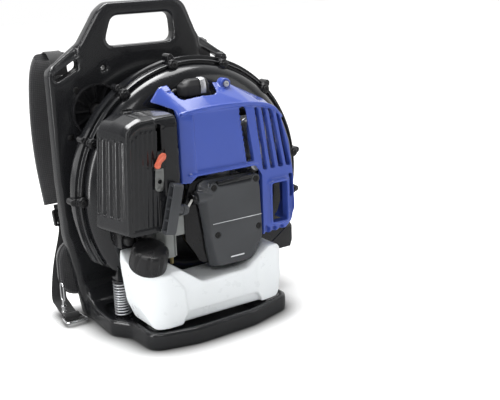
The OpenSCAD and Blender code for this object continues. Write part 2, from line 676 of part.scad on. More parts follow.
module cover_screw() color([0.75, 0.76, 0.77]) {
    rod_y(boss_at[0], boss_at[1], cover_y[1] - 14, cover_y[1], 3);
    rod_y(boss_at[0], boss_at[1], cover_y[1] - 17, cover_y[1] - 14, 5);
}

// ---- recoil starter ----

function recoil_outline(d) = rounded([[16 + d, 101 + d, 8], [72 - d, 101 + d, 8], [98 - d, 146, 14],
    [94 - d, 236 - d, 12], [6, 243 - d, 10], [-17 + d, 238 - d, 8], [-20 + d, 205 + d, 8],
    [-4 + d, 196, 10], [7 + d, 150, 10]]);
module recoil_cover() color([0.29, 0.3, 0.31]) difference() {
    union() {
        difference() {
            along_y(recoil_front, -70) polygon(recoil_outline(0));
            along_y(recoil_front + 3, -69) polygon(recoil_outline(3));
        }
        rod_y(axis_x, axis_z, recoil_front + 2, -67.5, 6);
    }
    for (p = recoil_screw_places) rod_y(p[0], p[1], recoil_front - 1, recoil_front + 2, 4.4);
    block([-30, -78, rope_z - 12], [-10, -69, rope_z + 2]);
}
module recoil_screws() color([0.05, 0.05, 0.05]) for (p = recoil_screw_places)
    rod_y(p[0], p[1], recoil_front + 1, recoil_front + 2, 4.2);

module recoil_housing() color([0.1, 0.1, 0.11]) difference() {
    along_y(-70, recoil_back) polygon(rounded([[-6, 108, 8], [84, 108, 8], [98, 146, 14],
        [94, 236, 12], [0, 241, 10], [-22, 238, 8], [-34, 200, 12], [-34, 150, 12]]));
    rod_y(axis_x, axis_z, -72, recoil_back + 1, 40);
    translate([axis_x, cyl_y, deck_z - 1]) cylinder(h = 20, r = bore_r + 5.5);
}

module recoil_spring() color([0.6, 0.61, 0.63]) difference() {
    rod_y(axis_x, axis_z, recoil_front + 3.5, pulley_y - 1, 28);
    rod_y(axis_x, axis_z, recoil_front + 2, pulley_y, 8);
}

module starter_pulley() color([0.85, 0.84, 0.8]) difference() {
    turn_y(axis_x, axis_z) polygon([[6.05, pulley_y], [pulley_r + 4, pulley_y],
        [pulley_r + 4, pulley_y + 2], [pulley_r - rope_d / 2, pulley_y + 2],
        [pulley_r - rope_d / 2, pulley_y + 7], [pulley_r + 4, pulley_y + 7],
        [pulley_r + 4, pulley_y + 9], [6.05, pulley_y + 9]]);
    for (i = [0:5]) rod_y(axis_x + 20 * cos(60 * i), axis_z + 20 * sin(60 * i), pulley_y - 1,
        pulley_y + 10, 5);
}

module starter_cup() color([0.5, 0.51, 0.53]) difference() {
    rod_y(axis_x, axis_z, -67.5, -60.5, 22);
    rod_y(axis_x, axis_z, -68, -63, 18);
    rod_y(axis_x, axis_z, -68, -60, journal_r);
    for (i = [0:2]) rod_y(axis_x + 18 * cos(120 * i), axis_z + 18 * sin(120 * i), -68, -63, 3);
}

module rope_guide() color([0.08, 0.08, 0.09]) difference() {
    rod_x(guide_at[1], guide_at[2], guide_at[0] - 10, guide_at[0] - 4, 8);
    rod_x(guide_at[1], guide_at[2], guide_at[0] - 11, guide_at[0], 2.6);
}

// Grip: a hollow-backed bar with cross ribs and a stem towards the guide
module starter_handle() color([0.2, 0.205, 0.21]) translate(grip_at)
    rotate([0, grip_tilt, 0]) {
        difference() {
            along_x(-9, 7) polygon(box_outline(-8, -grip_l / 2, 8, grip_l / 2, 5));
            for (i = [0:3]) block([-10, -5.5, -grip_l / 2 + 5 + i * 17],
                [1, 5.5, -grip_l / 2 + 19 + i * 17]);
        }
        rod_x(0, 0, 7 - eps, 24, 7);
    }
module starter_rope() color([0.75, 0.75, 0.72])
    bar(grip_at + [25.5, 2, -4], guide_at + [-11.2, -2, 0], rope_d / 2);

module side_guard() color([0.27, 0.28, 0.29]) difference() {
    union() {
        translate([0, 0, 132]) linear_extrude(82) polygon(rounded([[-74, -52, 4], [-66, -70, 4],
            [-51, -70, 4], [-51, -40, 4], [-74, -40, 4]]));
        block([-53, -68, 160], [-34, -62, 190]);
    }
    block([-66, -60, 146], [-50, -30, 200]);
}

// ---- fuel system ----

module at_cap() translate(cap_seat) rotate([cap_tilt, 0, 0]) children();

function tank_face(d) = rounded([[-106 + d, base_h + 2 + d, 10], [-120 + d, 62, 14],
    [-130 + d, 132, 8], [-124 + d, 151 - d, 8], [-108, 151 - d, 14], [-22, 89 - d, 14],
    [59, 91 - d, 12], [92, 107 - d, 10], [120 - d, 105 - d, 12], [133 - d, 84, 14],
    [117 - d, base_h + 2 + d, 10]]);
function tank_plan(d) = rounded([[-130 + d, tank_back - d, 10], [-130 + d, -66, 10],
    [-108 + d, tank_front + d, 14], [62, tank_front + d, 60], [124 - d, -84 + d, 14],
    [134 - d, tank_back - d, 10]]);
module tank_form(d) difference() {
    intersection() {
        along_y(-120, 0) polygon(tank_face(d));
        linear_extrude(200) polygon(tank_plan(d));
    }
    at_cap() translate([-60, -80, -d]) cube([200, 160, 80]);
}
module fuel_tank() color([0.93, 0.94, 0.94]) difference() {
    union() {
        tank_form(0);
        at_cap() translate([0, 0, -1]) cylinder(h = 13, r = 20);
    }
    tank_form(tank_t);
    at_cap() translate([0, 0, -12]) cylinder(h = 40, r = 17);
    along_y(-110, tank_front + 1.2) polygon(box_outline(-52, 38, 74, 76, 5));
}

module fuel_cap() color([0.06, 0.06, 0.065]) at_cap() difference() {
    translate([0, 0, 1]) cylinder(h = 34, r = cap_r);
    translate([0, 0, 0]) cylinder(h = 20, r = 20 + gap);
    for (i = [0:11]) rotate([0, 0, 30 * i]) translate([cap_r + 2, 0, 10]) cylinder(h = 30, r = 4);
}
module cap_seal() color([0.05, 0.05, 0.05]) at_cap() difference() {
    translate([0, 0, 12.6]) cylinder(h = 3, r = 19);
    translate([0, 0, 12]) cylinder(h = 5, r = 6);
}

module fuel_hose() color([0.75, 0.7, 0.45]) swept(hose_line, 3, 10);

// ---- rotating and sliding parts inside ----

module crankshaft() color([0.62, 0.63, 0.65]) {
    rod_y(axis_x, axis_z, -67, cyl_y - 4.3, journal_r);
    rod_y(axis_x, axis_z, cyl_y - 12, cyl_y - 4.3, web_r);
    rod_y(axis_x, axis_z, cyl_y + 4.3, cyl_y + 12, web_r);
    rod_y(axis_x, axis_z, cyl_y + 4.3, 60, journal_r);
}

module flywheel() color([0.6, 0.61, 0.62]) difference() {
    rod_y(axis_x, axis_z, -8, 4, 46);
    rod_y(axis_x, axis_z, -9, -2, 38);
    rod_y(axis_x, axis_z, -9, 5, journal_r);
}

module fan_impeller() color([0.2, 0.2, 0.21]) difference() {
    union() {
        rod_y(axis_x, axis_z, 13, 16, fan_r);
        rod_y(axis_x, axis_z, 13, 50, 22);
        for (i = [0:fan_blades - 1]) translate([axis_x, 0, axis_z])
            rotate([0, 360 * i / fan_blades, 0]) translate([eye_r, 0, 0]) rotate([0, blade_lean, 0])
            block([0, 15, -1.3], [blade_l, 58, 1.3]);
    }
    rod_y(axis_x, axis_z, 12, 62, journal_r);
}

module piston() color([0.7, 0.71, 0.72]) {
    difference() {
        translate([axis_x, cyl_y, pin_z - 16]) cylinder(h = 34, r = bore_r - 0.05);
        translate([axis_x, cyl_y, pin_z - 17]) cylinder(h = 30, r = bore_r - 4);
    }
    rod_y(axis_x, pin_z, cyl_y - bore_r + 4, cyl_y + bore_r - 4, 5);
}

module connecting_rod() color([0.6, 0.6, 0.61]) {
    difference() {
        union() {
            rod_y(axis_x, pin_z, cyl_y - rod_w / 2, cyl_y + rod_w / 2, 9);
            rod_y(axis_x, pin_z - rod_l, cyl_y - rod_w / 2, cyl_y + rod_w / 2, 11);
            block([axis_x - 5, cyl_y - 2.5, pin_z - rod_l + 4], [axis_x + 5, cyl_y + 2.5, pin_z - 4]);
        }
        rod_y(axis_x, pin_z, cyl_y - 9, cyl_y + 9, 5.05);
        rod_y(axis_x, pin_z - rod_l, cyl_y - 9, cyl_y + 9, 6);
    }
    rod_y(axis_x, pin_z - rod_l, cyl_y - 4, cyl_y + 4, 6);
}

backpack_frame();
back_pad();
lumbar_pad();
shoulder_strap_left();
shoulder_strap_right();
lower_webbing();
strap_adjusters();
volute_front_shell();
volute_rear_shell();
casing_clips();
outlet_elbow();
intake_net();
mount_cups();
rubber_mounts();
suspension_springs();
spring_seats();
support_legs();
crankcase();
main_bearings();
cylinder_block();  // cylinder
spark_plug();
ignition_coil();
ht_lead();
intake_manifold();
carburetor();
air_box();
filter_element();
cable_bracket();
primer_base();
muffler();
engine_cover();
cover_screw();
recoil_housing();
recoil_cover();
recoil_screws();
rope_guide();
recoil_spring();
side_guard();
fuel_tank();
fuel_hose();
crankshaft();
flywheel();
fan_impeller();
starter_cup();
starter_pulley();
starter_handle();
starter_rope();
choke_lever();
primer_bulb();
fuel_cap();
cap_seal();
filter_cover();
filter_knob();
plug_boot();
piston();
connecting_rod();
strap_hook_left();
strap_hook_right();
webbing_ring_left();
webbing_ring_right();
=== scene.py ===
"""Backpack leaf blower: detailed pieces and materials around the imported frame.

Sizes and places are in millimetres in the frame's own axes (+X the wearer's right, +Y the way the
wearer faces, +Z up) and become metres when a mesh is built.
"""

import json
from math import copysign, cos, pi, radians, sin, tan, tau

import bmesh
import bpy
from mathutils import Matrix, Vector


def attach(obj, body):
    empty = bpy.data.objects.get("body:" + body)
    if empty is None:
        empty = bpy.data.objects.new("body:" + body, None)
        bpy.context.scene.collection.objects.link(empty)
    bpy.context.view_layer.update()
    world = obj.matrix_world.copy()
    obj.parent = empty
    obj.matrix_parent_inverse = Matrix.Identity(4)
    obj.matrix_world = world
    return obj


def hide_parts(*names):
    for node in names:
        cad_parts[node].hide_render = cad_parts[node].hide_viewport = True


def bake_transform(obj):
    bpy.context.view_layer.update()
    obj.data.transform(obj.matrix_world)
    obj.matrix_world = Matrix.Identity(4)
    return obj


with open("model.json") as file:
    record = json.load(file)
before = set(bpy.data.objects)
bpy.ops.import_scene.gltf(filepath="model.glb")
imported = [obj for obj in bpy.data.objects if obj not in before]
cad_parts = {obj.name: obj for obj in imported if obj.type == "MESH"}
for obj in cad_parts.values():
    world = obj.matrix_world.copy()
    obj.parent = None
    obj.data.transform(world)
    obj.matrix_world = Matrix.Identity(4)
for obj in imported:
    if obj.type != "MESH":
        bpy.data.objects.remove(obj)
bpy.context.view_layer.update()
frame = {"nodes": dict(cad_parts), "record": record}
nodes = frame["nodes"]
MM = 0.001


def added(name, data):
    """New object in the scene that shows the given mesh, light or camera."""
    obj = bpy.data.objects.new(name, data)
    bpy.context.scene.collection.objects.link(obj)
    return obj


def fill(tree, node, inputs):
    """Sets a node's inputs: a socket is linked, anything else is a value."""
    for name, value in inputs.items():
        if isinstance(value, bpy.types.NodeSocket):
            tree.links.new(value, node.inputs[name])
        else:
            node.inputs[name].default_value = value


def add(tree, kind, inputs, output=0, **settings):
    """New shader node; gives back the asked output."""
    node = tree.nodes.new("ShaderNode" + kind)
    for name, setting in settings.items():
        setattr(node, name, setting)
    fill(tree, node, inputs)
    return node.outputs[output]


# ---- camera, floor and light ----

LENS_MM = 64.7
SENSOR_MM = 36
CAMERA_PLACE = (-0.6767, -1.1959, 0.578)
CAMERA_ANGLES = (-1.814, 34.098, 15.865)  # roll, heading and pitch
FLOOR_BELOW = 0.0002  # keeps the floor from sharing a plane with the base
SHADE_REACH = 0.045  # how far the contact shade spreads, in metres
PAPER_SIDE = (0.56, 0.83, 0.1)  # the side of the room that is white paper


def aim(roll, heading, pitch):
    """Axes of a camera: right, up and backwards."""
    flat = cos(pitch)
    ahead = Vector((sin(heading) * flat, cos(heading) * flat, -sin(pitch)))
    level = Vector((cos(heading), -sin(heading), 0))
    above = level.cross(ahead)
    right = level * cos(roll) + above * sin(roll)
    up = above * cos(roll) - level * sin(roll)
    return right, up, -ahead


def camera():
    data = bpy.data.cameras.new("camera")
    data.lens = LENS_MM
    data.sensor_width = SENSOR_MM
    obj = added("camera", data)
    turn = Matrix(aim(*map(radians, CAMERA_ANGLES))).transposed().to_4x4()
    obj.matrix_world = Matrix.Translation(CAMERA_PLACE) @ turn
    bpy.context.scene.camera = obj


def lamp(name, place, target, size, power):
    data = bpy.data.lights.new(name, "AREA")
    data.shape = "RECTANGLE"
    data.size, data.size_y = size
    data.energy = power
    obj = added(name, data)
    obj.location = place
    obj.rotation_euler = (Vector(target) - Vector(place)).to_track_quat("-Z", "Y").to_euler()


def studio():
    """White paper behind the object, a dimmer room in front of it, plain white where seen directly."""
    scene = bpy.context.scene
    scene.view_settings.view_transform = "Standard"
    world = bpy.data.worlds.new("studio")
    world.use_nodes = True
    tree = world.node_tree
    ahead = add(tree, "TexCoord", {}, "Generated")
    facing = add(tree, "VectorMath", {0: ahead, 1: PAPER_SIDE}, "Value", operation="DOT_PRODUCT")
    room = add(tree, "MapRange", {"Value": facing, "From Min": -0.1, "From Max": 0.9, "To Min": 0.16,
                                  "To Max": 1.0}, "Result", interpolation_type="SMOOTHSTEP")
    direct = add(tree, "LightPath", {}, "Is Camera Ray")
    seen = add(tree, "Math", {0: room, 1: direct}, operation="MAXIMUM")
    fill(tree, tree.nodes["Background"], {"Color": (1, 1, 1, 1), "Strength": seen})
    scene.world = world
    sun = bpy.data.lights.new("sun", "SUN")
    sun.energy = 2.0
    sun.angle = radians(35)
    added("sun", sun).rotation_euler = Vector((0.12, -0.22, -1)).to_track_quat("-Z", "Y").to_euler()
    lamp("key", (-0.9, -1.5, 1.5), (0, 0, 0.25), (1.1, 0.8), 11)
    lamp("left_strip", (-1.25, -0.05, 0.7), (-0.1, 0, 0.25), (0.22, 1.5), 8)
    lamp("top", (0.1, 0.15, 1.5), (0, 0, 0.3), (1.1, 0.7), 15)
    lamp("right_fill", (1.4, -1.2, 0.8), (0.1, 0, 0.25), (0.7, 1.2), 3)
    bpy.ops.mesh.primitive_plane_add(size=12, location=(0, 0, -FLOOR_BELOW))
    floor = bpy.context.object
    floor.name = "floor"
    floor.data.materials.append(paper())


def paper():
    """White floor that glossy parts reflect as a dim one, as under a studio tent."""
    mat, tree, bsdf = shader("floor_white")
    # contact shade: the paper darkens where something stands within a few centimetres
    near = add(tree, "AmbientOcclusion", {"Distance": SHADE_REACH}, "Color")
    deep = add(tree, "Gamma", {"Color": near, "Gamma": 2.4})
    fill(tree, bsdf, {"Base Color": deep, "Roughness": 0.7, "Emission Color": deep,
                      "Emission Strength": 0.15})
    dim = add(tree, "BsdfDiffuse", {"Color": (0.3, 0.3, 0.3, 1)})
    glossy = add(tree, "LightPath", {}, "Is Glossy Ray")
    mix = add(tree, "MixShader", {0: glossy, 1: bsdf.outputs["BSDF"], 2: dim})
    fill(tree, tree.nodes["Material Output"], {"Surface": mix})
    return mat


# ---- materials ----


def shader(name):
    mat = bpy.data.materials.new(name)
    mat.use_nodes = True
    tree = mat.node_tree
    return mat, tree, tree.nodes["Principled BSDF"]


def noise(tree, scale, detail=3.0, stretch=None):
    """Noise over the object's own axes, squeezed along one of them if asked."""
    place = add(tree, "TexCoord", {}, "Object")
    if stretch:
        place = add(tree, "Mapping", {"Vector": place, "Scale": stretch})
    return add(tree, "TexNoise", {"Vector": place, "Scale": scale, "Detail": detail}, "Fac")


def remap(tree, value, low, high):
    """Spreads the middle of a noise over low to high."""
    return add(tree, "MapRange", {"Value": value, "From Min": 0.3, "From Max": 0.7, "To Min": low,
                                  "To Max": high}, "Result")


def tint(tree, bsdf, value, dark, light):
    mix = add(tree, "Mix", {"Factor": value, "A": (*dark, 1), "B": (*light, 1)}, "Result", data_type="RGBA")
    fill(tree, bsdf, {"Base Color": mix})


def bump(tree, bsdf, height, depth_mm):
    fill(tree, bsdf, {"Normal": add(tree, "Bump", {"Height": height, "Distance": depth_mm * MM})})


def moulded(name, colour, rough, spread=0.04, grain=900, grain_depth=0.02, vary=0.12, coat=0.0):
    """Injection or blow moulded plastic: slight colour drift, uneven gloss and a fine surface grain."""
    mat, tree, bsdf = shader(name)
    drift = remap(tree, noise(tree, 14), 0, 1)
    tint(tree, bsdf, drift, [c * (1 - vary) for c in colour], [min(1, c * (1 + vary)) for c in colour])
    gloss = remap(tree, noise(tree, 60), max(0.02, rough - spread), rough + spread)
    fill(tree, bsdf, {"Roughness": gloss, "Coat Weight": coat, "Coat Roughness": 0.08})
    bump(tree, bsdf, noise(tree, grain, 2), grain_depth)
    return mat


def metal(name, colour, rough, spread=0.08, grain=700, grain_depth=0.01, stretch=(1, 1, 1)):
    """Bare or plated metal with brushed or cast grain, stretched along one axis for a brushed look."""
    mat, tree, bsdf = shader(name)
    value = noise(tree, grain, 2, stretch)
    tint(tree, bsdf, remap(tree, value, 0, 1), [c * 0.85 for c in colour], colour)
    fill(tree, bsdf, {"Metallic": 1.0, "Roughness": remap(tree, value, rough - spread, rough + spread)})
    bump(tree, bsdf, value, grain_depth)
    return mat


def woven(name, colour, pitch_mm, depth_mm, rough=0.8, sheen=0.3):
    """Cloth: two crossing sets of threads, with a little fluff and colour drift."""
    mat, tree, bsdf = shader(name)
    place = add(tree, "TexCoord", {}, "Object")
    threads = {"Vector": place, "Scale": 0.314 / (pitch_mm * MM), "Distortion": 0.6}
    sets = [add(tree, "TexWave", threads, "Fac", bands_direction=axis) for axis in ("X", "Z")]
    weave = add(tree, "Math", {0: sets[0], 1: sets[1]}, operation="MULTIPLY")
    drift = add(tree, "Math", {0: noise(tree, 40), 1: 0.5, 2: weave}, operation="MULTIPLY_ADD")
    tint(tree, bsdf, drift, [c * 0.55 for c in colour], [c * 1.5 for c in colour])
    fill(tree, bsdf, {"Roughness": rough, "Sheen Weight": sheen})
    bump(tree, bsdf, weave, depth_mm)
    return mat


def tank_plastic(name):
    """Milky translucent polyethylene."""
    mat = moulded(name, (0.79, 0.82, 0.835), 0.3, 0.04, 420, 0.01, 0.01)
    tree = mat.node_tree
    fill(tree, tree.nodes["Principled BSDF"], {"Subsurface Weight": 0.12, "Subsurface Scale": 0.006,
                                               "Subsurface Radius": (1.0, 1.0, 0.95)})
    return mat


MATERIALS = {name: make(name, *rest) for name, make, *rest in (
    ("frame_black", moulded, (0.0125, 0.013, 0.0145), 0.24, 0.02, 620, 0.01, 0.05, 0.3),
    ("casing_black", moulded, (0.011, 0.0115, 0.013), 0.2, 0.04, 160, 0.015, 0.1, 0.3),
    ("trim_black", moulded, (0.008, 0.008, 0.009), 0.24, 0.05),
    ("rubber_black", moulded, (0.016, 0.016, 0.017), 0.5, 0.08, 1300, 0.06),
    ("cover_blue", moulded, (0.046, 0.085, 0.38), 0.2, 0.04, 300, 0.006, 0.04, 0.5),
    ("starter_grey", moulded, (0.05, 0.053, 0.058), 0.33, 0.05, 1000, 0.05),
    ("guard_grey", moulded, (0.2, 0.21, 0.205), 0.38, 0.05, 1000, 0.05),
    ("screw_black", moulded, (0.006, 0.006, 0.006), 0.35, 0.05),
    ("tank_white", tank_plastic),
    ("hose_amber", moulded, (0.5, 0.4, 0.16), 0.3),
    ("fan_grey", moulded, (0.05, 0.05, 0.055), 0.5),
    ("pulley_nylon", moulded, (0.7, 0.68, 0.62), 0.45),
    ("choke_orange", moulded, (0.58, 0.125, 0.07), 0.32, 0.05, 700, 0.03, 0.08),
    ("cap_black", moulded, (0.012, 0.012, 0.013), 0.3, 0.05, 800, 0.05),
    ("coil_resin", moulded, (0.03, 0.03, 0.035), 0.55),
    ("plug_ceramic", moulded, (0.8, 0.8, 0.78), 0.15, 0.02),
    ("filter_paper", moulded, (0.6, 0.55, 0.38), 0.85, 0.05, 500, 0.2),
    ("label_white", moulded, (0.62, 0.64, 0.66), 0.4, 0.04),
    ("cast_alloy", metal, (0.5, 0.51, 0.52), 0.5, 0.08, 900, 0.05),
    ("machined_steel", metal, (0.6, 0.61, 0.63), 0.28, 0.08, 500, 0.01, (1, 12, 1)),
    ("spring_steel", metal, (0.8, 0.81, 0.84), 0.42, 0.06, 900, 0.01),
    ("zinc_plate", metal, (0.4, 0.41, 0.4), 0.42, 0.1, 260, 0.02, (1, 1, 8)),
    ("muffler_steel", metal, (0.72, 0.73, 0.75), 0.3, 0.08, 400, 0.01, (1, 1, 10)),
    ("chrome_wire", metal, (0.82, 0.83, 0.84), 0.12, 0.04, 500, 0.004),
    ("pad_mesh", woven, (0.022, 0.022, 0.024), 3.0, 0.5),
    ("webbing_black", woven, (0.018, 0.018, 0.019), 1.4, 0.25),
    ("rope_white", woven, (0.55, 0.55, 0.52), 1.6, 0.3, 0.8, 0.2),
)}


# ---- shape tools ----

BEVEL_ANGLE = 30  # edges sharper than this many degrees are rounded
SHARP_ANGLE = 38  # edges sharper than this are shaded as edges
BEND = 0.78  # how far a rounded corner follows its curve instead of its chord


def rounded(points, steps=6):
    """Closed outline through points (u, v, corner radius)."""
    out = []
    for i, (u, v, radius) in enumerate(points):
        here = Vector((u, v))
        before = Vector(points[i - 1][:2]) - here
        after = Vector(points[(i + 1) % len(points)][:2]) - here
        if radius == 0:
            out.append((u, v))
            continue
        half = before.angle(after) / 2
        reach = min(radius / tan(half), 0.49 * before.length, 0.49 * after.length)
        start = here + before.normalized() * reach
        end = here + after.normalized() * reach
        for k in range(steps + 1):
            t = k / steps
            bend = start * (1 - t) ** 2 + here * 2 * t * (1 - t) + end * t**2
            out.append(tuple(start.lerp(end, t) * (1 - BEND) + bend * BEND))
    return out


def rectangle(u0, v0, u1, v1, radius):
    return rounded([(u0, v0, radius), (u1, v0, radius), (u1, v1, radius), (u0, v1, radius)])


def build(points, faces, poles=False):
    """Mesh from points in mm; poles says that some faces collapse, as at the pole of a lathe."""
    mesh = bpy.data.meshes.new("shape")
    mesh.from_pydata([Vector(p) * MM for p in points], [], [tuple(f) for f in faces])
    work = bmesh.new()
    work.from_mesh(mesh)
    bmesh.ops.remove_doubles(work, verts=work.verts, dist=1e-6)
    if poles:
        bmesh.ops.dissolve_degenerate(work, dist=1e-7, edges=work.edges)
    return finished(work, mesh)


def finished(work, mesh):
    bmesh.ops.recalc_face_normals(work, faces=work.faces)
    work.to_mesh(mesh)
    work.free()
    return added("shape", mesh)


def lift(u, v, w, along):
    """Point from its place in an outline and its position w along the axis."""
    return {"X": (w, u, v), "Y": (u, w, v), "Z": (u, v, w)}[along]


def circle(steps):
    """Cosine and sine of evenly spaced turns."""
    return [(cos(tau * i / steps), sin(tau * i / steps)) for i in range(steps)]


def at_y(outline, y):
    """Outline of (x, z) points placed at y."""
    return [(u, y, v) for u, v in outline]


def prism(outline, start, end, along="Y"):
    """Outline pushed from start to end: (x, z) along Y, (y, z) along X, (x, y) along Z."""
    return loft([[lift(u, v, w, along) for u, v in outline] for w in (start, end)])


def plate(points, start, end, along="Y"):
    """Prism of an outline with rounded corners."""
    return prism(rounded(points), start, end, along)


def loft(rings):
    """Closed skin through rings with the same number of points, with both ends filled."""
    n = len(rings[0])
    points = [p for ring in rings for p in ring]
    faces = [range(n), range(len(points) - 1, len(points) - n - 1, -1)]
    for k in range(len(rings) - 1):
        low = k * n
        faces += [(low + i, low + (i + 1) % n, low + n + (i + 1) % n, low + n + i) for i in range(n)]
    return build(points, faces)


def hull(points):
    work = bmesh.new()
    for p in points:
        work.verts.new(Vector(p) * MM)
    bmesh.ops.convex_hull(work, input=work.verts)
    loose = [v for v in work.verts if not v.link_faces]
    bmesh.ops.delete(work, geom=loose, context="VERTS")
    return finished(work, bpy.data.meshes.new("shape"))


def block(low, high):
    return prism(rectangle(*low[:2], *high[:2], 0), low[2], high[2], "Z")


def lathe(profile, centre, along="Y", steps=96):
    """Closed profile of (radius, position along the axis) turned about an axis through centre."""
    n = len(profile)
    points, faces = [], []
    for k, (c, s) in enumerate(circle(steps)):
        points += [lift(centre[0] + r * c, centre[1] + r * s, w, along) for r, w in profile]
        low, high = k * n, (k + 1) % steps * n
        faces += [(low + i, low + (i + 1) % n, high + (i + 1) % n, high + i) for i in range(n)]
    return build(points, faces, poles=True)


def rod(start, end, radius, end_radius=None, steps=40):
    """Straight round bar or cone between two points."""
    start, end = Vector(start), Vector(end)
    axis = (end - start).normalized()
    side = axis.orthogonal().normalized()
    other = axis.cross(side)
    return loft([[place + r * (c * side + s * other) for c, s in circle(steps)]
                 for place, r in ((start, radius), (end, radius if end_radius is None else end_radius))])


def ball(centre, radius, squash=(1, 1, 1), steps=32):
    rings = []
    for k in range(1, steps // 2):
        tilt = pi * k / (steps // 2)
        rings.append([(centre[0] + squash[0] * radius * sin(tilt) * c,
                       centre[1] + squash[1] * radius * sin(tilt) * s,
                       centre[2] + squash[2] * radius * cos(tilt)) for c, s in circle(steps)])
    return loft(rings)


def tube(path, radius, steps=12, closed=False):
    """Round tube along a path, its frame carried along without twist."""
    path = [Vector(p) for p in path]
    n = len(path)
    rings, side = [], None
    for i, p in enumerate(path):
        before = path[i - 1] if i or closed else p
        after = path[(i + 1) % n] if i < n - 1 or closed else p
        ahead = (after - before).normalized()
        side = ahead.orthogonal() if side is None else side - ahead * side.dot(ahead)
        side = side.normalized()
        up = ahead.cross(side)
        rings.append([p + radius * (c * side + s * up) for c, s in circle(steps)])
    if not closed:
        return loft(rings)
    points = [q for ring in rings for q in ring]
    faces = []
    for k in range(n):
        low, high = k * steps, (k + 1) % n * steps
        faces += [(low + i, low + (i + 1) % steps, high + (i + 1) % steps, high + i) for i in range(steps)]
    return build(points, faces)


def outward(path, i, across):
    """Direction square to a strap's path and its width."""
    ahead = (path[min(i + 1, len(path) - 1)] - path[max(i - 1, 0)]).normalized()
    return ahead.cross(across).normalized()


def band(path, across, width, thick):
    """Flat strap along a path; across is the direction of its width."""
    path = [Vector(p) for p in path]
    across = Vector(across).normalized()
    edge = [(-0.5, -0.3), (-0.46, -0.5), (0.46, -0.5), (0.5, -0.3), (0.5, 0.3), (0.46, 0.5),
            (-0.46, 0.5), (-0.5, 0.3)]
    return loft([[p + across * width * a + outward(path, i, across) * thick * b for a, b in edge]
                 for i, p in enumerate(path)])


def smooth_path(points, steps=6):
    """Catmull-Rom curve through points."""
    pts = [Vector(p) for p in points]
    pts = [pts[0] * 2 - pts[1]] + pts + [pts[-1] * 2 - pts[-2]]
    out = []
    for i in range(1, len(pts) - 2):
        a, b, c, d = pts[i - 1 : i + 3]
        for k in range(steps):
            t = k / steps
            out.append(0.5 * (2 * b + (c - a) * t + (2 * a - 5 * b + 4 * c - d) * t**2
                              + (3 * b - a - 3 * c + d) * t**3))
    return out + [pts[-2]]


def together(first, *others):
    """Joins meshes into the first object."""
    work = bmesh.new()
    for obj in (first, *others):
        work.from_mesh(obj.data)
    work.to_mesh(first.data)
    work.free()
    for obj in others:
        bpy.data.objects.remove(obj)
    return first


def settle(obj):
    """Applies the modifiers."""
    graph = bpy.context.evaluated_depsgraph_get()
    mesh = bpy.data.meshes.new_from_object(obj.evaluated_get(graph))
    obj.modifiers.clear()
    obj.data = mesh
    return obj


def boolean(obj, operation, tools):
    for tool in tools:
        step = obj.modifiers.new("boolean", "BOOLEAN")
        step.operation = operation
        step.solver = "EXACT"
        step.object = tool
        settle(obj)
        bpy.data.objects.remove(tool)
    return obj


def cut(obj, *tools):
    return boolean(obj, "DIFFERENCE", tools)


def common(obj, *tools):
    return boolean(obj, "INTERSECT", tools)


def mould(obj, voxel, passes):
    """Melts a group of overlapping solids into one skin with softly rounded edges."""
    melt = obj.modifiers.new("melt", "REMESH")
    melt.mode = "VOXEL"
    melt.voxel_size = voxel * MM
    if passes:
        ease = obj.modifiers.new("ease", "SMOOTH")
        ease.factor = 0.5
        ease.iterations = passes
    settle(obj)
    obj.data.shade_smooth()
    return obj


def smoothed(obj, angle):
    """Smooth shading that leaves edges sharper than the angle as they are."""
    obj.data.shade_smooth()
    obj.data.set_sharp_from_angle(angle=radians(angle))
    return obj


def crisp(obj, width, steps=2):
    """Small machined or moulded edge rounding on an exact shape."""
    if width:
        edge = obj.modifiers.new("edge", "BEVEL")
        edge.width = width * MM
        edge.segments = steps
        edge.limit_method = "ANGLE"
        edge.angle_limit = radians(BEVEL_ANGLE)
        settle(obj)
    return smoothed(obj, SHARP_ANGLE)


def piece(obj, name, finish, stands_for=None, body="root"):
    """Hands an object over as a visible piece, in the place of one CAD node if it has one."""
    obj.name = name
    obj.data.name = name
    obj.data.materials.clear()
    obj.data.materials.append(MATERIALS[finish])
    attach(obj, body)
    if stands_for:
        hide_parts(stands_for)


def refined(node, finish):
    """A CAD node whose shape is right, with its edges rounded as a moulding or casting has them."""
    obj = added(node, nodes[node].data.copy())
    work = bmesh.new()
    work.from_mesh(obj.data)
    bmesh.ops.remove_doubles(work, verts=work.verts, dist=2e-5)
    bmesh.ops.dissolve_limit(work, angle_limit=radians(1), verts=work.verts, edges=work.edges)
    work.to_mesh(obj.data)
    work.free()
    custom = obj.data.attributes.get("custom_normal")
    if custom:
        obj.data.attributes.remove(custom)
    piece(crisp(obj, 0.6), node + "_detail", finish, node)


# ---- frame and harness ----

FRAME_X = -8
FRAME_HALF = 158
PLATE_Y = (83, 107)
TRAY_H = 27
SPRING_X = (-113, 113)
STRAP_X = 130
ROLL_X = 154


def frame_outline():
    left, right = FRAME_X - FRAME_HALF, FRAME_X + FRAME_HALF
    return rounded([
        (left + 29, 0, 0), (left + 17, 74, 20), (left + 4, 140, 60), (left, 230, 80), (left - 1, 404, 12),
        (FRAME_X - 104, 441, 12), (-80, 488, 14), (-64, 500, 14), (64, 500, 16), (76, 488, 14),
        (FRAME_X + 104, 441, 12), (right + 1, 404, 12), (right, 230, 80), (right - 12, 168, 20),
        (right - 17, 74, 20), (right - 29, 0, 0)])


def strap_slot(side):
    return rounded([(FRAME_X + side * 149, 385, 4), (FRAME_X + side * 149, 397, 4),
                    (FRAME_X + side * 109, 420, 4), (FRAME_X + side * 109, 404, 4)])


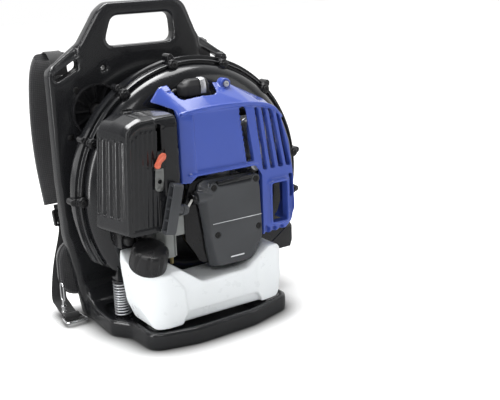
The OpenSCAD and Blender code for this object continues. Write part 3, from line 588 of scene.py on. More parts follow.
def backpack_frame():
    """Blow-moulded plate, carry handle and base tray in one soft-edged skin."""
    tray = rounded([(-133, 113, 14), (-138, 21, 40), (-139, -8, 12), (-119, -38, 14), (-117, -100, 22),
                    (-44, -117, 60), (60, -113, 60), (144, -88, 20), (144, -20, 20), (128, 20, 20),
                    (121, 113, 14)])
    well = rounded([(-120, 60, 10), (-126, 20, 30), (-127, -4, 10), (-107, -30, 12), (-106, -90, 20),
                    (-43, -106, 56), (58, -102, 56), (132, -79, 16), (132, -22, 16), (116, 16, 16),
                    (112, 60, 10)])
    sweep = [(84, 26), (84, 62)] + [(48 + 35 * c, 62 - 35 * s) for c, s in circle(32)[:9]]
    body = together(prism(frame_outline(), *PLATE_Y), prism(tray, 0, TRAY_H, "Z"))
    hand = plate([(-72, 433, 12), (54, 433, 12), (50, 479, 12), (-56, 479, 12)], 70, 120)
    mould(body, 1.6, 0)
    cut(body, hand, *[prism(strap_slot(side), 70, 120) for side in (-1, 1)],
        prism(well, 20, 40, "Z"), rod((-75, 70, 401), (-75, 120, 401), 5))
    # thinner strap bars beside the handle, set back from the plate's face
    for side in (-1, 1):
        bar = rounded([(FRAME_X + side * 152, 398, 0), (FRAME_X + side * 152, 414, 0),
                       (FRAME_X + side * 107, 446, 0), (FRAME_X + side * 107, 423, 0)])
        cut(body, prism(bar, 75, 90))
    extras = [prism(sweep, FRAME_X - 129, FRAME_X + 129, "X")]
    extras += [rod((x, -2, 10), (x, -2, TRAY_H), 18, 16) for x in SPRING_X]
    extras += [block((x - 14, -82, 10), (x + 14, -50, TRAY_H)) for x in (-84, 90)]
    together(body, *extras)
    mould(body, 2.3, 20)
    piece(body, "pack_frame", "frame_black", "backpack_frame")


def frame_screws():
    heads = []
    for x, z in ((-125, 372), (-122, 150), (112, 372), (-140, 300)):
        heads += [rod((x, 81.6, z), (x, 84, z), 4.6, 5.2), rod((x, 80.8, z), (x, 83, z), 3.4)]
    piece(crisp(together(*heads), 0.4), "frame_screws", "screw_black")


def pads():
    """Back and lumbar pads as crowned cushions with a piped seam and sewn channels."""
    for name, x0, z0, x1, z1, corner, y0, y1, channels, uprights in (
        ("back_pad", -100, 165, 84, 378, 28, 107.3, 131, (235, 305), ()),
        ("lumbar_pad", -168, 34, 152, 128, 30, 107.3, 135, (), (-60, 44)),
    ):
        rings = []
        for inset, y in ((3, y0), (0.5, y0 + 4), (0, y0 + 9),
                         (2, y1 - 8), (8, y1 - 3.5), (18, y1 - 1), (40, y1)):
            r = max(4, corner - inset * 0.6)
            rings.append(at_y(rectangle(x0 + inset, z0 + inset, x1 - inset, z1 - inset, r), y))
        pad = loft(rings)
        cuts = [rod((x0 - 5, y1 + 1.5, z), (x1 + 5, y1 + 1.5, z), 5) for z in channels]
        cuts += [rod((x, y1 + 1.5, z0 - 5), (x, y1 + 1.5, z1 + 5), 5) for x in uprights]
        cut(pad, *cuts)
        mould(pad, 2.6, 6)
        seam = rectangle(x0 + 0.4, z0 + 0.4, x1 - 0.4, z1 - 0.4, corner)
        pipe = tube(at_y(seam, y0 + 7), 1.7, 8, closed=True)
        pipe.data.shade_smooth()
        piece(pad, name + "_cushion", "pad_mesh", name)
        piece(pipe, name + "_piping", "webbing_black")


STRAP_LINE = [(114, 392), (121, 414), (141, 420), (169, 388), (183, 320), (179, 250), (157, 180)]
BARE_STEPS = 16  # steps of the strap's line that only webbing crosses, above the pad
WIDTHWISE = Vector((1, 0, 0))


def shoulder_straps():
    """Padded straps with a web along their outer face."""
    for side, name in ((-1, "shoulder_strap_left"), (1, "shoulder_strap_right")):
        x = FRAME_X + side * STRAP_X
        line = smooth_path([(x, y, z) for y, z in STRAP_LINE], 8)
        outs = [outward(line, i, WIDTHWISE) for i in range(len(line))]
        rings = []
        for p, out in list(zip(line, outs))[BARE_STEPS:]:
            ring = []
            for a, b in circle(28):
                across = 27 * copysign(abs(a) ** 0.45, a)
                ring.append(p + Vector((across, 0, 0)) + out * 6 * copysign(abs(b) ** 0.7, b))
            rings.append(ring)
        pad = smoothed(loft(rings), 50)
        piece(pad, name + "_pad", "pad_mesh", name)
        web = band([p - out * 6.4 for p, out in zip(line, outs)], WIDTHWISE, 25, 1.6)
        piece(smoothed(web, 40), name + "_web", "webbing_black")


def lower_webbing():
    """Two straps from the shoulder pads to the rolls of webbing beside the frame."""
    parts = []
    for side in (-1, 1):
        top_x, low_x = FRAME_X + side * STRAP_X, FRAME_X + side * ROLL_X
        path = [(top_x, 154.5, 179), (top_x, 148, 158), (top_x, 142, 137), (low_x - side * 8, 140, 80),
                (low_x, 138, 29), (low_x, 122, 16), (low_x, 100, 8)]
        parts.append(band(smooth_path(path, 6), WIDTHWISE, 25, 2))
        coil = []
        for i in range(64):
            turn = tau * i / 21
            r = 6.1 - 3.2 * i / 64
            coil.append((low_x, 92 + r * cos(turn), 6.6 + r * sin(turn)))
        parts.append(band(coil, WIDTHWISE, 25, 1.0))
    web = together(*parts)
    smoothed(web, 40)
    piece(web, "lower_webbing_straps", "webbing_black", "lower_webbing")


def hooks_and_rings():
    """Snap hooks at the base's sides, and the wire rings that hold the rolls of webbing."""
    for side, word in ((-1, "left"), (1, "right")):
        x, y = FRAME_X + side * 163, 98
        loop = [(x, y + a, z) for a, z in rounded([(-6, 33, 6), (6, 33, 6), (6, 63.5, 6), (-6, 63.5, 6)])]
        hook = tube(loop, 1.6, 10, closed=True)
        gate = rod((x, y - 6, 38), (x, y - 5.2, 52), 1.3)
        barrel = lathe([(0, 13.5), (4.2, 13.5), (4.2, 16), (3.4, 17), (3.4, 21), (4.4, 22.5), (4.4, 25),
                        (2.6, 27), (2.2, 33), (0, 33)], (x, y), "Z", 32)
        piece(crisp(together(hook, gate, barrel), 0), "snap_hook_" + word, "chrome_wire",
              "strap_hook_" + word, "hook_" + word)
        x = FRAME_X + side * ROLL_X
        wire = rounded([(x - 19, 66, 5), (x - 15, 92, 5), (x + 15, 92, 5), (x + 19, 66, 5)])
        ring = tube([(u, v, 6.5) for u, v in wire], 2, 12, closed=True)
        piece(crisp(ring, 0), "wire_ring_" + word, "chrome_wire", "webbing_ring_" + word,
              "ring_" + word)


# ---- fan casing ----

RIM = (31, 212)
CRANK = (40, 188)
OUTLET = (192, 109)


def under_casing(raised):
    return [(-300, 206 + raised * 1.15), (-30, 50 + raised), (66 - raised / 2, 50 + raised),
            (97 - raised / 2, 91 + raised), (320, 91 + raised), (320, -100), (-300, -100)]


def front_profile(wall):
    """Half-section of the front shell's outside, moved in by the wall: (radius, y)."""
    bulge = []
    for i in range(21):
        turn = pi * i / 20
        half = 33.5 if turn < pi / 2 else 36
        bulge.append((158 + (half - wall) * cos(turn), 6 - (24 - wall) * sin(turn)))
    return bulge


def volute():
    outside = front_profile(0)
    ridge = [(204, 15), (204, 11.4), (203.4, 10.8), (199, 10.8), (198.4, 10), (198.2, 4.4), (197.4, 3.2),
             (196.2, 3.2), (195.4, 4.4), (195.2, 7.2), (192.4, 7.2)]
    front = lathe([(0, 15)] + ridge + outside + [(0, 6)], RIM, "Y", 180)
    cut(front, prism(under_casing(0), -60, 60))
    hollow = lathe([(0, 16), (191, 16)] + front_profile(3) + [(0, 9)], RIM, "Y", 120)
    cut(hollow, prism(under_casing(3), -60, 60))
    cut(front, hollow, rod((CRANK[0], -50, CRANK[1]), (CRANK[0], 50, CRANK[1]), 24), *outlet_window())
    piece(crisp(front, 0), "volute_front", "casing_black", "volute_front_shell")
    # rear shell: drum with a rounded shoulder and a flared air inlet
    def rear(wall):
        return [(174 + (22 - wall) * c, 40 + (28 - wall) * s) for c, s in circle(40)[:11]]
    shell = lathe([(0, 15.1), (204, 15.1), (204, 18.6), (203.4, 19.2), (198.6, 19.2), (196, 20.4)] + rear(0)
                  + [(0, 68)], RIM, "Y", 180)
    cut(shell, prism(under_casing(0), 0, 90))
    room = lathe([(0, 14), (193, 14)] + rear(3) + [(0, 65)], RIM, "Y", 120)
    cut(room, prism(under_casing(3), 0, 90))
    cut(shell, room, rod((CRANK[0], 20, CRANK[1]), (CRANK[0], 100, CRANK[1]), 78), *outlet_window())
    piece(crisp(shell, 0), "volute_rear", "casing_black", "volute_rear_shell")


def casing_clips():
    """Screw bosses around the rim, each with a domed front, a bridge over the flange and an outer lug."""
    bosses, screws = [], []
    for degrees in (178, 152, 126, 99, 72, 45, 7, -12):
        c, s = cos(radians(degrees)), sin(radians(degrees))

        def at(radius, y, c=c, s=s):
            return (RIM[0] + radius * c, y, RIM[1] + radius * s)
        boss = [rod(at(195.5, -1), at(195.5, 20), 8.2), rod(at(207.5, 5), at(207.5, 23), 5.2),
                ball(at(195.5, -0.5), 7.6, (1, 0.35, 1))]
        for swing in (-6, 6):
            side = Vector((-s, 0, c)) * swing
            boss.append(hull([Vector(at(r, y)) + side * k
                              for r in (193, 208) for y in (4, 22) for k in (0.1, 0.9)]))
        bosses.append(mould(together(*boss), 0.7, 3))
        screw = rod(at(195.5, -3.6), at(195.5, 1), 4.2, 4.6)
        cut(screw, rod(at(195.5, -5), at(195.5, -2.2), 2.2, steps=6))
        screws.append(screw)
    clips = together(*bosses)
    clips.data.shade_smooth()
    piece(clips, "rim_clips", "trim_black", "casing_clips")
    piece(crisp(together(*screws), 0.3), "rim_screws", "screw_black")


def outlet_room(d):
    """Space inside the outlet duct's outer surface, moved in by d."""
    def throat(right, low, top):
        return [(139, 94 + d), (175, low + d), (right - 4 - d, low + d), (right - d, low + 11),
                (right - d, top - d), (139, top - d)]
    return hull(at_y(throat(207, 76, 113), -16 + d) + at_y(throat(228, 67, 147), 68 - d))


def outlet_window():
    """Tools that open the casing toward the outlet."""
    return outlet_room(-1), block((139, -60, 60), (330, 75, 112))


def outlet():
    """Duct from the casing to the hose spigot, with a moulded rib across its front corner."""
    body = cut(outlet_room(0), outlet_room(3), block((120, -13, 98), (145, 60, 110)))
    cut(body, rod((OUTLET[0], 60, OUTLET[1]), (OUTLET[0], 80, OUTLET[1]), 33.4, steps=64))
    spigot = lathe([(33, 64), (36, 64), (36, 84), (37, 85), (37, 88), (36, 89), (36, 97.5), (35, 98),
                    (33, 98)], OUTLET, "Y", 72)
    ribs = [tube([(196, -15.6, 112), (160, -15.6, 88)], 1.8, 10),
            tube([(205, -4, 116), (205, -15.4, 111.6), (172, -15.6, 111.6)], 1.4, 10)]
    piece(crisp(together(crisp(body, 1.6, 3), spigot, *ribs), 0), "outlet_duct", "casing_black",
          "outlet_elbow")


# ---- suspension ----


COIL_TURNS = 12
COIL_STEPS = 36
COIL_R = 12.6
COIL_SPAN = (29.4, 82.6)


def springs():
    coils = []
    count = COIL_TURNS * COIL_STEPS
    low, high = COIL_SPAN
    for x in SPRING_X:
        line = []
        for i in range(count + 1):
            turn, share = tau * i / COIL_STEPS, i / count
            # the turns lie a little closer together in the middle of the spring than at its ends
            height = low + (high - low) * (share + 0.018 * sin(tau * share))
            line.append((x + COIL_R * cos(turn), -2 + COIL_R * sin(turn), height))
        coils.append(tube(line, 1.35, 14))
    piece(smoothed(together(*coils), 50), "coil_springs", "spring_steel", "suspension_springs")


# ---- engine cover ----


def cover_solid(d):
    """Space inside the cover's outer surface, moved in by d."""
    def front(grow, left):
        return rounded([(left + d, 150, 0), (left + d, 344 - d + grow, 8), (20, 348 - d + grow, 0),
                        (88 + grow, 346 - d + grow, 20), (138 - d + grow, 327 - d + grow, 16),
                        (155 - d + grow, 281, 40), (162 - d + grow, 232, 30), (165 - d + grow, 170, 12),
                        (158 - d + grow, 147 + d - grow, 8), (145, 137 + d - grow, 4),
                        (100, 134 + d - grow, 4), (left + d, 142, 0)])
    rear = rounded([(-64 + d, 200, 0), (-68 + d, 354 - d, 6), (-47, 381 - d, 10), (0, 386 - d, 0),
                    (74, 374 - d, 30), (144 - d, 340 - d, 16), (163 - d, 281, 40), (170 - d, 232, 30),
                    (173 - d, 170, 12), (166 - d, 147 + d, 8), (145, 138 + d, 4), (-30, 142, 0)])
    points = [p for grow, left, y in ((-3.5, -21, -85), (-0.6, -27, -82), (0.8, -39, -77))
              for p in at_y(front(grow, left), y + d)]
    return hull(points + [(u, y, v) for u, v in rear for y in (-36 + d, -34 + d)])


BOSS = (63, 375)
# each louvre: left and right at the top, height of the top, left and right at the foot
LOUVRES = [(89, 95.5, 341, 102.5, 110.5), (102, 109, 339, 117, 125.5), (115.5, 122.5, 335, 132, 141.5),
           (129.5, 136, 328, 147, 156)]


def on_boss(y0, y1, radius, steps=40):
    return rod((BOSS[0], y0, BOSS[1]), (BOSS[0], y1, BOSS[1]), radius, steps=steps)


def engine_cover():
    """Blue cover with its window, louvres, recessed panel and crest."""
    shell = cut(cover_solid(0), cover_solid(3))
    # deeper webs behind the louvres and round the window
    webs = common(prism([(80, 136), (170, 136), (170, 350), (80, 350)], -86, -74), cover_solid(0.2))
    together(shell, webs)
    mould(shell, 1.5, 0)
    cut(shell,
        # open left side, starter opening and underside
        prism([(-95, 100), (-20, 100), (-20, 366), (-34, 361), (-78, 346), (-95, 342)], -90, -39.4, "X"),
        plate([(-60, 100, 0), (-60, 241, 0), (-27, 240, 4), (-17, 250, 5), (88, 250, 8), (100, 238, 6),
               (100, 100, 0)], -92, -25),
        block((-90, -90, 100), (99.5, -25, 200)),
        block((103, -73, 120), (158, -25, 150)),
        # spark plug notch at the back of the top
        plate([(-26, -61, 12), (40, -61, 12), (50, -20, 0), (-36, -20, 0)], 330, 410, "Z"),
        # recessed centre panel, the slot beside it and the louvres
        plate([(-18, 257, 2), (73, 256, 0), (60, 344, 0), (-19, 345, 4)], -90, -82.6),
        plate([(61, 343, 3), (72, 344, 3), (86.5, 257, 2), (73, 258, 2)], -95, -70),
        *[plate([(a, top, 2.5), (b, top - 1.5, 3), (e, 240, 2), (c, 241, 2)], -95, -70)
          for a, b, top, c, e in LOUVRES],
        # window, the hollow beside it and the scallops of the lower edge
        prism(rectangle(115.5, 153, 145, 217, 4), -95, -70),
        plate([(151.5, 189, 2), (160.5, 187, 2), (159.5, 226, 3), (151, 227, 2)], -95, -66),
        plate([(151, 152, 3), (161, 158, 3), (161.5, 190, 0), (151, 190, 0)], -95, -80.5),
        *[plate([(x, 120, 0), (x + 9.6, 120, 0), (x + 9.6, 150 - k, 4.7), (x, 151 - k, 4.7)], -95, -75.5)
          for k, x in ((0, 103.2), (3, 116.4), (5, 130.4))])
    # rim of the window: half-width, half-height, corner radius and y of each step
    steps = ((24.5, 41, 9, -83), (20, 37.5, 6, -86.4), (17, 35, 5, -88.2), (16.4, 34.4, 5, -88.6))
    ring = loft([at_y(rectangle(130 - w, 185 - h, 130 + w, 185 + h, r), y) for w, h, r, y in steps])
    rim = cut(prism(rectangle(105.5, 144, 154.5, 226, 9), -84, -82),
              prism(rectangle(115, 153, 145, 217, 4), -90, -70))
    cut(ring, prism(rectangle(115.4, 152.6, 144.8, 217.4, 4), -95, -60))
    sill = tube(smooth_path([(-30, -84.6, 252.8), (20, -85, 252.6), (84, -85, 252.6), (93, -84.6, 246),
                             (99, -84.2, 236)], 6), 1.5, 10)
    crest = tube(smooth_path([(-37, -80, 344.5), (-22, -82.5, 347.6), (20, -83, 350), (62, -82.6, 349),
                              (98, -81.5, 345), (126, -80, 336), (144, -78, 318)], 6), 2.9, 12)
    boss = on_boss(-48, -34, 9)
    edge = tube(at_y(rectangle(113.8, 151.2, 146.8, 218.8, 5), -88.6), 2.1, 12, closed=True)
    together(shell, rim, ring, edge, sill, crest, boss)
    mould(shell, 1.18, 4)
    cut(shell, on_boss(-60, -30, 3.6), on_boss(-52, -46.4, 5.6),
        ball((-33, -52, 374.5), 9, (1.5, 1, 0.35)), rod((140, -46, 262), (180, -46, 262), 10))
    smoothed(shell, 60)
    piece(shell, "engine_cover_blue", "cover_blue", "engine_cover")
    head = lathe([(0, -50.6), (3, -50.6), (4.6, -49.8), (4.8, -47), (0, -47)], BOSS, "Y", 32)
    cut(head, on_boss(-52, -49, 2.2, 6))
    piece(crisp(together(head, on_boss(-47.5, -34, 3)), 0), "cover_screw_head", "spring_steel",
          "cover_screw")


def plug_boot():
    """Rubber cap over the spark plug, with a bright clip near its right end."""
    low = rectangle(-14, -48, 38, -24, 11)
    boot = hull([(u, v, z) for u, v in low for z in (363, 378)]
                + [(u, v, 387) for u, v in rectangle(-2, -44, 33, -28, 8)])
    stem = rod((30, -36, 347), (30, -36, 366), 11)
    skirt = rod((30, -36, 345), (30, -36, 350), 12, 11)
    nose = rod((-8, -37, 376), (8, -37, 380), 8, 9)
    body = mould(together(boot, stem, skirt, nose), 1.2, 6)
    cut(body, rod((30, -36, 340), (30, -36, 367), 5.4))
    body.data.shade_smooth()
    piece(body, "plug_boot_moulding", "rubber_black", "plug_boot", "boot")
    clip = band(smooth_path([(22, -48.8, 366), (22, -49.3, 376), (22, -45.6, 386.6), (22, -36, 388.4)], 5),
                WIDTHWISE, 9, 0.9)
    piece(crisp(clip, 0), "plug_boot_clip", "spring_steel", body="boot")


# ---- starter ----


RECOIL_SCREWS = ((9.5, 228), (86, 230), (13, 153), (89, 153))


def recoil_cover():
    """Six-sided cover with bosses at its upper screws and a plain raised line across its face, coloured pale
    as a painted highlight.
    """
    def outline(grow):
        return rounded([(12 - grow * 0.8, 102 - grow * 0.3, 8), (74 + grow * 0.6, 102 - grow * 0.3, 8),
                        (96 + grow * 0.3, 136, 14), (93 + grow * 0.5, 228 + grow, 10), (0, 230 + grow, 8),
                        (-4 - grow * 0.9, 226 + grow * 0.8, 8), (-5 - grow, 205, 8), (2 - grow * 0.8, 196, 8),
                        (3 - grow * 0.6, 135, 12)])
    face = hull(at_y(outline(-2), -88) + at_y(outline(1), -84) + at_y(outline(9), -74))
    skirt = prism(outline(9), -76, -70)
    body = together(face, skirt)
    bosses = [rod((x, -88, z), (x, -72, z), 7.4) for x, z in RECOIL_SCREWS[:2]]
    arm = rod((-18, -79, 216), (6, -79, 216), 10)
    together(body, *bosses, arm)
    mould(body, 1.2, 2)
    cut(body, block((-11, -78, 205), (-2, -60, 222)))
    cut(body, *[rod((x, -90, z), (x, -85.5, z), 5.2) for x, z in RECOIL_SCREWS],
        prism(rectangle(34, 111.5, 61, 115, 1.6), -90, -87))
    cut(body, hull(at_y(outline(-6), -84.8) + at_y(outline(5), -66)))
    mould(body, 0.9, 2)
    piece(body, "starter_cover", "starter_grey", "recoil_cover")
    heads = [cut(rod((x, -87.4, z), (x, -84.5, z), 4.9), *[
        prism(rectangle(x - a, z - b, x + a, z + b, 0), -88.5, -86.8) for a, b in ((2.8, 0.5), (0.5, 2.8))])
        for x, z in RECOIL_SCREWS]
    piece(crisp(together(*heads), 0.2), "starter_screws", "screw_black", "recoil_screws")
    # raised line in pale label white: a painted highlight where light catches the step across the face; the
    # small mark below it is print
    line = prism([(4.5, 171.6), (94, 171.6), (94, 172.4), (4.5, 172.4)], -88.5, -87.9)
    mark = prism(rectangle(35, 112.2, 60, 114.4, 1), -87.6, -86.9)
    piece(together(line, mark), "starter_cover_mark_and_painted_highlight", "label_white")
    ridge = tube(smooth_path([(17, -83.4, 232.5), (48, -84.5, 234), (80, -83.4, 234.5)], 5), 4.2, 20)
    piece(crisp(ridge, 0), "starter_cover_ridge", "casing_black")


def starter_grip():
    """T-handle with a ladder of pockets in its back, and the rope's ferrule."""
    length = 76
    bar = prism(rectangle(-8, -length / 2, 8, length / 2, 5), -9, 7, "X")
    for i in range(4):
        low = -length / 2 + 5 + i * 17
        cut(bar, block((-12, -5.5, low), (1.5, 5.5, low + 14)))
    crisp(bar, 1.0, 3)
    stem = lathe([(0, 5), (7, 5), (7, 20), (6.2, 23.6), (5, 24), (0, 24)], (0, 0), "X", 40)
    collar = lathe([(7.4, 14), (8.2, 14.6), (8.2, 18.4), (7.4, 19), (6.5, 19), (6.5, 14)], (0, 0), "X", 40)
    grip = together(bar, crisp(stem, 0), crisp(collar, 0))
    place = Matrix.Translation(Vector((-70, -101.5, 214)) * MM) @ Matrix.Rotation(radians(14), 4, "Y")
    grip.data.transform(place)
    piece(grip, "pull_grip", "starter_grey", "starter_handle", "grip")


def starter_rope():
    """Braided cord from the grip into the starter."""
    start, end = Vector((-46, -99.5, 209)), Vector((-26.4, -81.4, 215))
    line = [start.lerp(end, i / 12) for i in range(13)]
    rope = tube(line, 1.7, 10)
    smoothed(rope, 60)
    rope.name = "pull_rope"
    rope.data.materials.append(MATERIALS["rope_white"])
    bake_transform(rope)
    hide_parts("starter_rope")


# ---- fuel ----

CAP_SEAT = Vector((-103, -73, 126))
CAP_TILT = radians(25)


def at_cap(obj):
    obj.data.transform(Matrix.Translation(CAP_SEAT * MM) @ Matrix.Rotation(CAP_TILT, 4, "X"))
    return obj


def fuel_tank():
    """Blow-moulded tank with a blank label field, its left end raised under the filler."""
    face = rounded([(-106, 29, 10), (-120, 62, 14), (-130, 132, 8), (-124, 151, 8), (-108, 151, 14),
                    (-22, 89, 14), (59, 91, 12), (88, 110, 12), (104, 119, 10), (126, 117, 18),
                    (139, 88, 30), (120, 29, 12)])
    plan = rounded([(-130, -30, 10), (-131, -60, 30), (-106, -99.5, 40), (62, -99.5, 60), (136, -90, 26),
                    (140, -30, 10)], 10)
    tank = common(prism(face, -130, 0), prism(plan, 10, 200, "Z"))
    cut(tank, at_cap(block((-60, -80, 0), (140, 80, 80))))
    cut(tank,
        # inset middle of the front, lower hollow and the blank label field
        plate([(-68, 20, 0), (90, 20, 0), (80, 47, 8), (76, 84, 8), (92, 130, 0), (-92, 130, 0),
               (-56, 86, 10), (-52, 48, 8)], -110, -96.6),
        plate([(-64, 20, 0), (88, 20, 0), (79, 46, 7), (-51, 46, 7)], -110, -90),
        prism(rectangle(-48, 50, 52, 84, 3), -110, -95.8))
    together(tank, at_cap(rod((0, 0, -4), (0, 0, 8), 20)))
    mould(tank, 1.7, 7)
    cut(tank, at_cap(rod((0, 0, -12), (0, 0, 20), 17)))
    smoothed(tank, 60)
    piece(tank, "fuel_tank_moulding", "tank_white", "fuel_tank")


def fuel_cap():
    """Screw cap with deep finger scallops and a fine knurl around its skirt."""
    steps, rings = 240, []
    for r, z, deep in ((26.4, 1, 0), (28, 2, 0), (28, 12, 0), (28, 17, 0.6), (27.8, 22, 1), (27.4, 30, 1),
                       (26.2, 33, 0.9), (24, 34.6, 0.6), (20, 35, 0), (10, 35.3, 0), (2, 35.4, 0)):
        ring = []
        for i in range(steps):
            turn = tau * i / steps
            wave = max(0, cos(turn * 9)) ** 2 * 2.6 * deep
            knurl = 0.25 * (1 - deep) * cos(turn * 60) if r > 26 and 2 <= z <= 12 else 0
            ring.append(((r - wave + knurl) * cos(turn), (r - wave + knurl) * sin(turn), z))
        rings.append(ring)
    cap = at_cap(loft(rings))
    smoothed(cap, 40)
    cut(cap, at_cap(rod((0, 0, 0), (0, 0, 19), 20.3, steps=64)))
    piece(cap, "screw_cap", "cap_black", "fuel_cap", "cap")


# ---- air box ----


def air_box():
    """Fixed half of the air box with its glossy front panel."""
    side = plate([(-85.4, 181, 2), (-85.4, 353, 0), (-50, 350, 6), (-50, 222, 8), (-74, 222, 6),
                  (-76, 181, 2)], -95, -15)
    body = common(side, plate([(-20, 182, 4), (-20, 350, 10), (-50, 352, 20), (-90, 346, 14), (-90, 182, 4)],
                              -120, -20, "X"))
    cut(body, plate([(-84, 226, 3), (-53, 230, 5), (-53, 334, 5), (-84, 334, 3)], -95, -88.4))
    panel = plate([(-72, 228, 3), (-53.5, 231, 4), (-53.5, 332, 4), (-72, 333, 3)], -90.2, -86)
    cut(body, block((-82, -84, 228), (-55, -27, 330)))
    cut(body, rod((-60, -36, 262), (-40, -36, 262), 9))
    together(body, panel)
    cut(body, plate([(-84, 299, 1), (-76, 299, 1), (-76, 338, 2), (-84, 338, 2)], -95, -79))
    together(body, tube(smooth_path([(-85.6, -90, 345.4), (-68, -90, 346.4), (-54, -90, 347)], 5), 1.7, 10))
    mould(body, 1.1, 2)
    cut(body, rod((-83.7, -95, 287), (-83.7, -78, 287), 1.6))
    body.data.shade_smooth()
    piece(body, "air_box_body", "casing_black", "air_box")


def filter_side(y, z):
    """x of the filter cover's splayed left side."""
    return -139 - 0.25 * (y + 92) + (z - 180) * (7 + 0.083 * (y + 92)) / 155


def filter_cover():
    """Cover of the air filter: fluted left side, finely ribbed front and a rounded, glossy top."""
    def ring(y, foot, head, top, d):
        return at_y(rounded([(foot + d, 180 + d, 8), (head + d, top - 12 - d, 14), (head + 26, top - d, 16),
                             (-86.2, top - d, 0), (-86.2, 180 + d, 0)]), y)

    def form(d):
        return hull(ring(-92 + d, -136, -129, 341, d) + ring(-89 + d, -139, -132, 345.5, d)
                    + ring(-80, -142.3, -134, 349, d)
                    + ring(-52, -149, -138.5, 352, d) + ring(-28, -155.2, -143, 351, d)
                    + ring(-20 - d, -156.4, -143.5, 347, d))
    body = form(0)
    corners = [(filter_side(y, z) + out, y, z) for y in (-86, -25) for z in (205, 317) for out in (-7, 2.6)]
    cut(body, hull(corners))
    ribs = []
    for i in range(4):
        y = -78.4 + i * 15.2
        low, high = (filter_side(y, 205) + 6.6, y, 205), (filter_side(y, 317) + 6.6, y, 317)
        ribs.append(rod(low, high, 7.8))
    # fine upright ribs on the front, inside a raised border
    cut(body, plate([(-133, 188, 4), (-87, 188, 2), (-87, 336, 3), (-112, 336, 12), (-126.5, 326, 10)],
                    -100, -90.4))
    for i in range(6):
        x = -128 + i * 7.6
        ribs.append(rod((x - 2.6, -88.0, 190), (x + 4.6, -88.0, 329 - max(0, 2 - i) * 5), 3.3))
    border = tube(smooth_path([(-137.2, -90.4, 184), (-134, -90.6, 260), (-131.2, -90.6, 322),
                               (-126.5, -90.5, 336), (-115, -90.2, 343), (-100, -90, 344.6),
                               (-87.5, -90, 345.4)], 6), 1.7, 10)
    together(body, *ribs, border)
    mould(body, 1.1, 2)
    room = prism([(-129, -88), (-80, -88), (-80, -23), (-137, -23)], 170, 360, "Z")
    cut(body, common(form(3), room), block((-90, -88, 184), (-80, -23, 341)),
        rod((-106, -46, 330), (-106, -46, 360), 4.3))
    smoothed(body, 60)
    piece(body, "filter_lid_moulding", "casing_black", "filter_cover", "filter_lid")


def filter_knob():
    knob = lathe([(0, 336), (4, 336), (4, 347.4), (8.4, 347.6), (9, 348.2), (9, 353), (8.2, 354.4),
                  (6, 354.8), (0, 354.8)], (-106, -46), "Z", 48)
    grip = prism(rectangle(-114, -47.6, -98, -44.4, 1.4), 354, 357.2, "Z")
    piece(crisp(together(knob, grip), 0.4), "lid_knob_moulding", "trim_black", "filter_knob", "lid_knob")


def choke_lever():
    x, z = -83.7, 287
    blade = plate([(x - 10, z - 10, 3), (x - 3.5, z - 10.5, 3), (x - 1.5, z - 3, 3), (x + 6, z + 2.5, 3),
                   (x + 8, z + 9.5, 3), (x + 3, z + 11.5, 3), (x - 3, z + 8, 4), (x - 7, z + 1, 3),
                   (x - 11, z - 5, 3)], -102, -97)
    spine = [(x - 7, -101.6, z - 7), (x - 4, -102, z), (x + 4.5, -101.8, z + 7.6)]
    rib = tube(smooth_path(spine, 6), 1.5, 10)
    hub = rod((x, -101, z), (x, -81, z), 1.3)
    lever = mould(together(blade, rib), 0.6, 3)
    lever.data.shade_smooth()
    piece(together(lever, hub), "choke_lever_moulding", "choke_orange", "choke_lever", "choke")


def cable_bracket():
    sheet = plate([(-94, 243, 6), (-79, 240, 6), (-78, 274, 4), (-91, 277, 4)], -94.4, -92.8)
    cut(sheet, rod((-85.5, -97, 256), (-85.5, -90, 256), 3.4))
    collar = lathe([(3.4, -95.3), (5, -95.3), (5, -94), (3.4, -94)], (-85.5, 256), "Y", 32)
    fold = prism([(-93, 273), (-80, 271.5), (-80, 275), (-93, 276.5)], -97.5, -93)
    clamp = rod((-87, -96, 245.5), (-87, -93, 245.5), 2.6)
    piece(crisp(together(sheet, collar, fold, clamp), 0.35), "throttle_bracket", "zinc_plate",
          "cable_bracket")


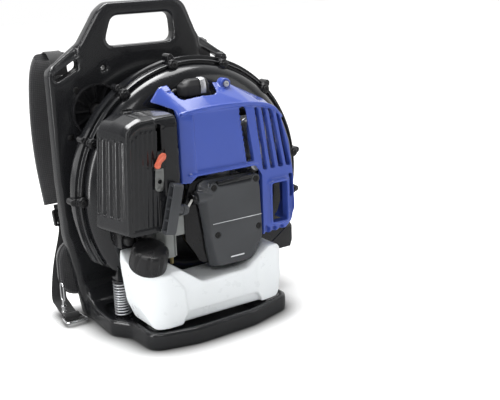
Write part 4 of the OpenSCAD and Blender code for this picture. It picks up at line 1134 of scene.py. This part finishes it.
def side_guard():
    guard = plate([(-75, -52, 3), (-68, -69, 4), (-51, -70, 4), (-51, -40, 3), (-75, -40, 3)], 128, 214, "Z")
    cut(guard, hull([(x, y, z) for y in (-90, -20) for x, z in ((-90, 204), (-90, 230), (-62, 224))]),
        block((-69, -64, 120), (-45, -30, 208)))
    rib = prism(rectangle(-53.2, 130, -51, 212, 0.8), -71.4, -69)
    tab = block((-53, -68, 160), (-34, -62, 190))
    piece(crisp(together(guard, rib, tab), 0.9), "side_guard_moulding", "guard_grey", "side_guard")


def muffler():
    body = prism(rectangle(86, 238, 132, 318, 12), -74, -26)
    pipe = rod((79, -36, 262), (90, -36, 262), 14)
    tail = lathe([(5.6, 128), (8, 128), (8, 144), (7.4, 145), (5.6, 145)], (-46, 262), "X", 36)
    ribs = [prism(rectangle(x, 244, x + 4, 312, 1.8), -76, -72) for x in (94, 104, 114, 124)]
    seam = prism(rectangle(84.6, 236.6, 133.4, 319.4, 13), -51, -49)
    piece(crisp(together(body, pipe, tail, seam, *ribs), 0.8), "muffler_can", "muffler_steel", "muffler")


# ---- everything, in order ----

camera()
studio()
backpack_frame()
frame_screws()
pads()
shoulder_straps()
lower_webbing()
hooks_and_rings()
volute()
casing_clips()
outlet()
springs()
engine_cover()
plug_boot()
recoil_cover()
starter_grip()
starter_rope()
fuel_tank()
fuel_cap()
air_box()
filter_cover()
filter_knob()
choke_lever()
cable_bracket()
side_guard()
muffler()

for name, finish in (
        ("recoil_housing", "trim_black"), ("support_legs", "casing_black"), ("rope_guide", "trim_black"),
        ("primer_base", "trim_black"), ("mount_cups", "trim_black"), ("crankcase", "cast_alloy"),
        ("cylinder", "cast_alloy"), ("carburetor", "cast_alloy"), ("strap_adjusters", "trim_black"),
        ("intake_net", "trim_black")):
    refined(name, finish)

slots = {part["node"]: part["material_slot"] for part in frame["record"]["subparts"]}
for name, obj in nodes.items():
    if obj.hide_render:
        continue
    obj.data.materials.clear()
    obj.data.materials.append(MATERIALS[slots[name]])
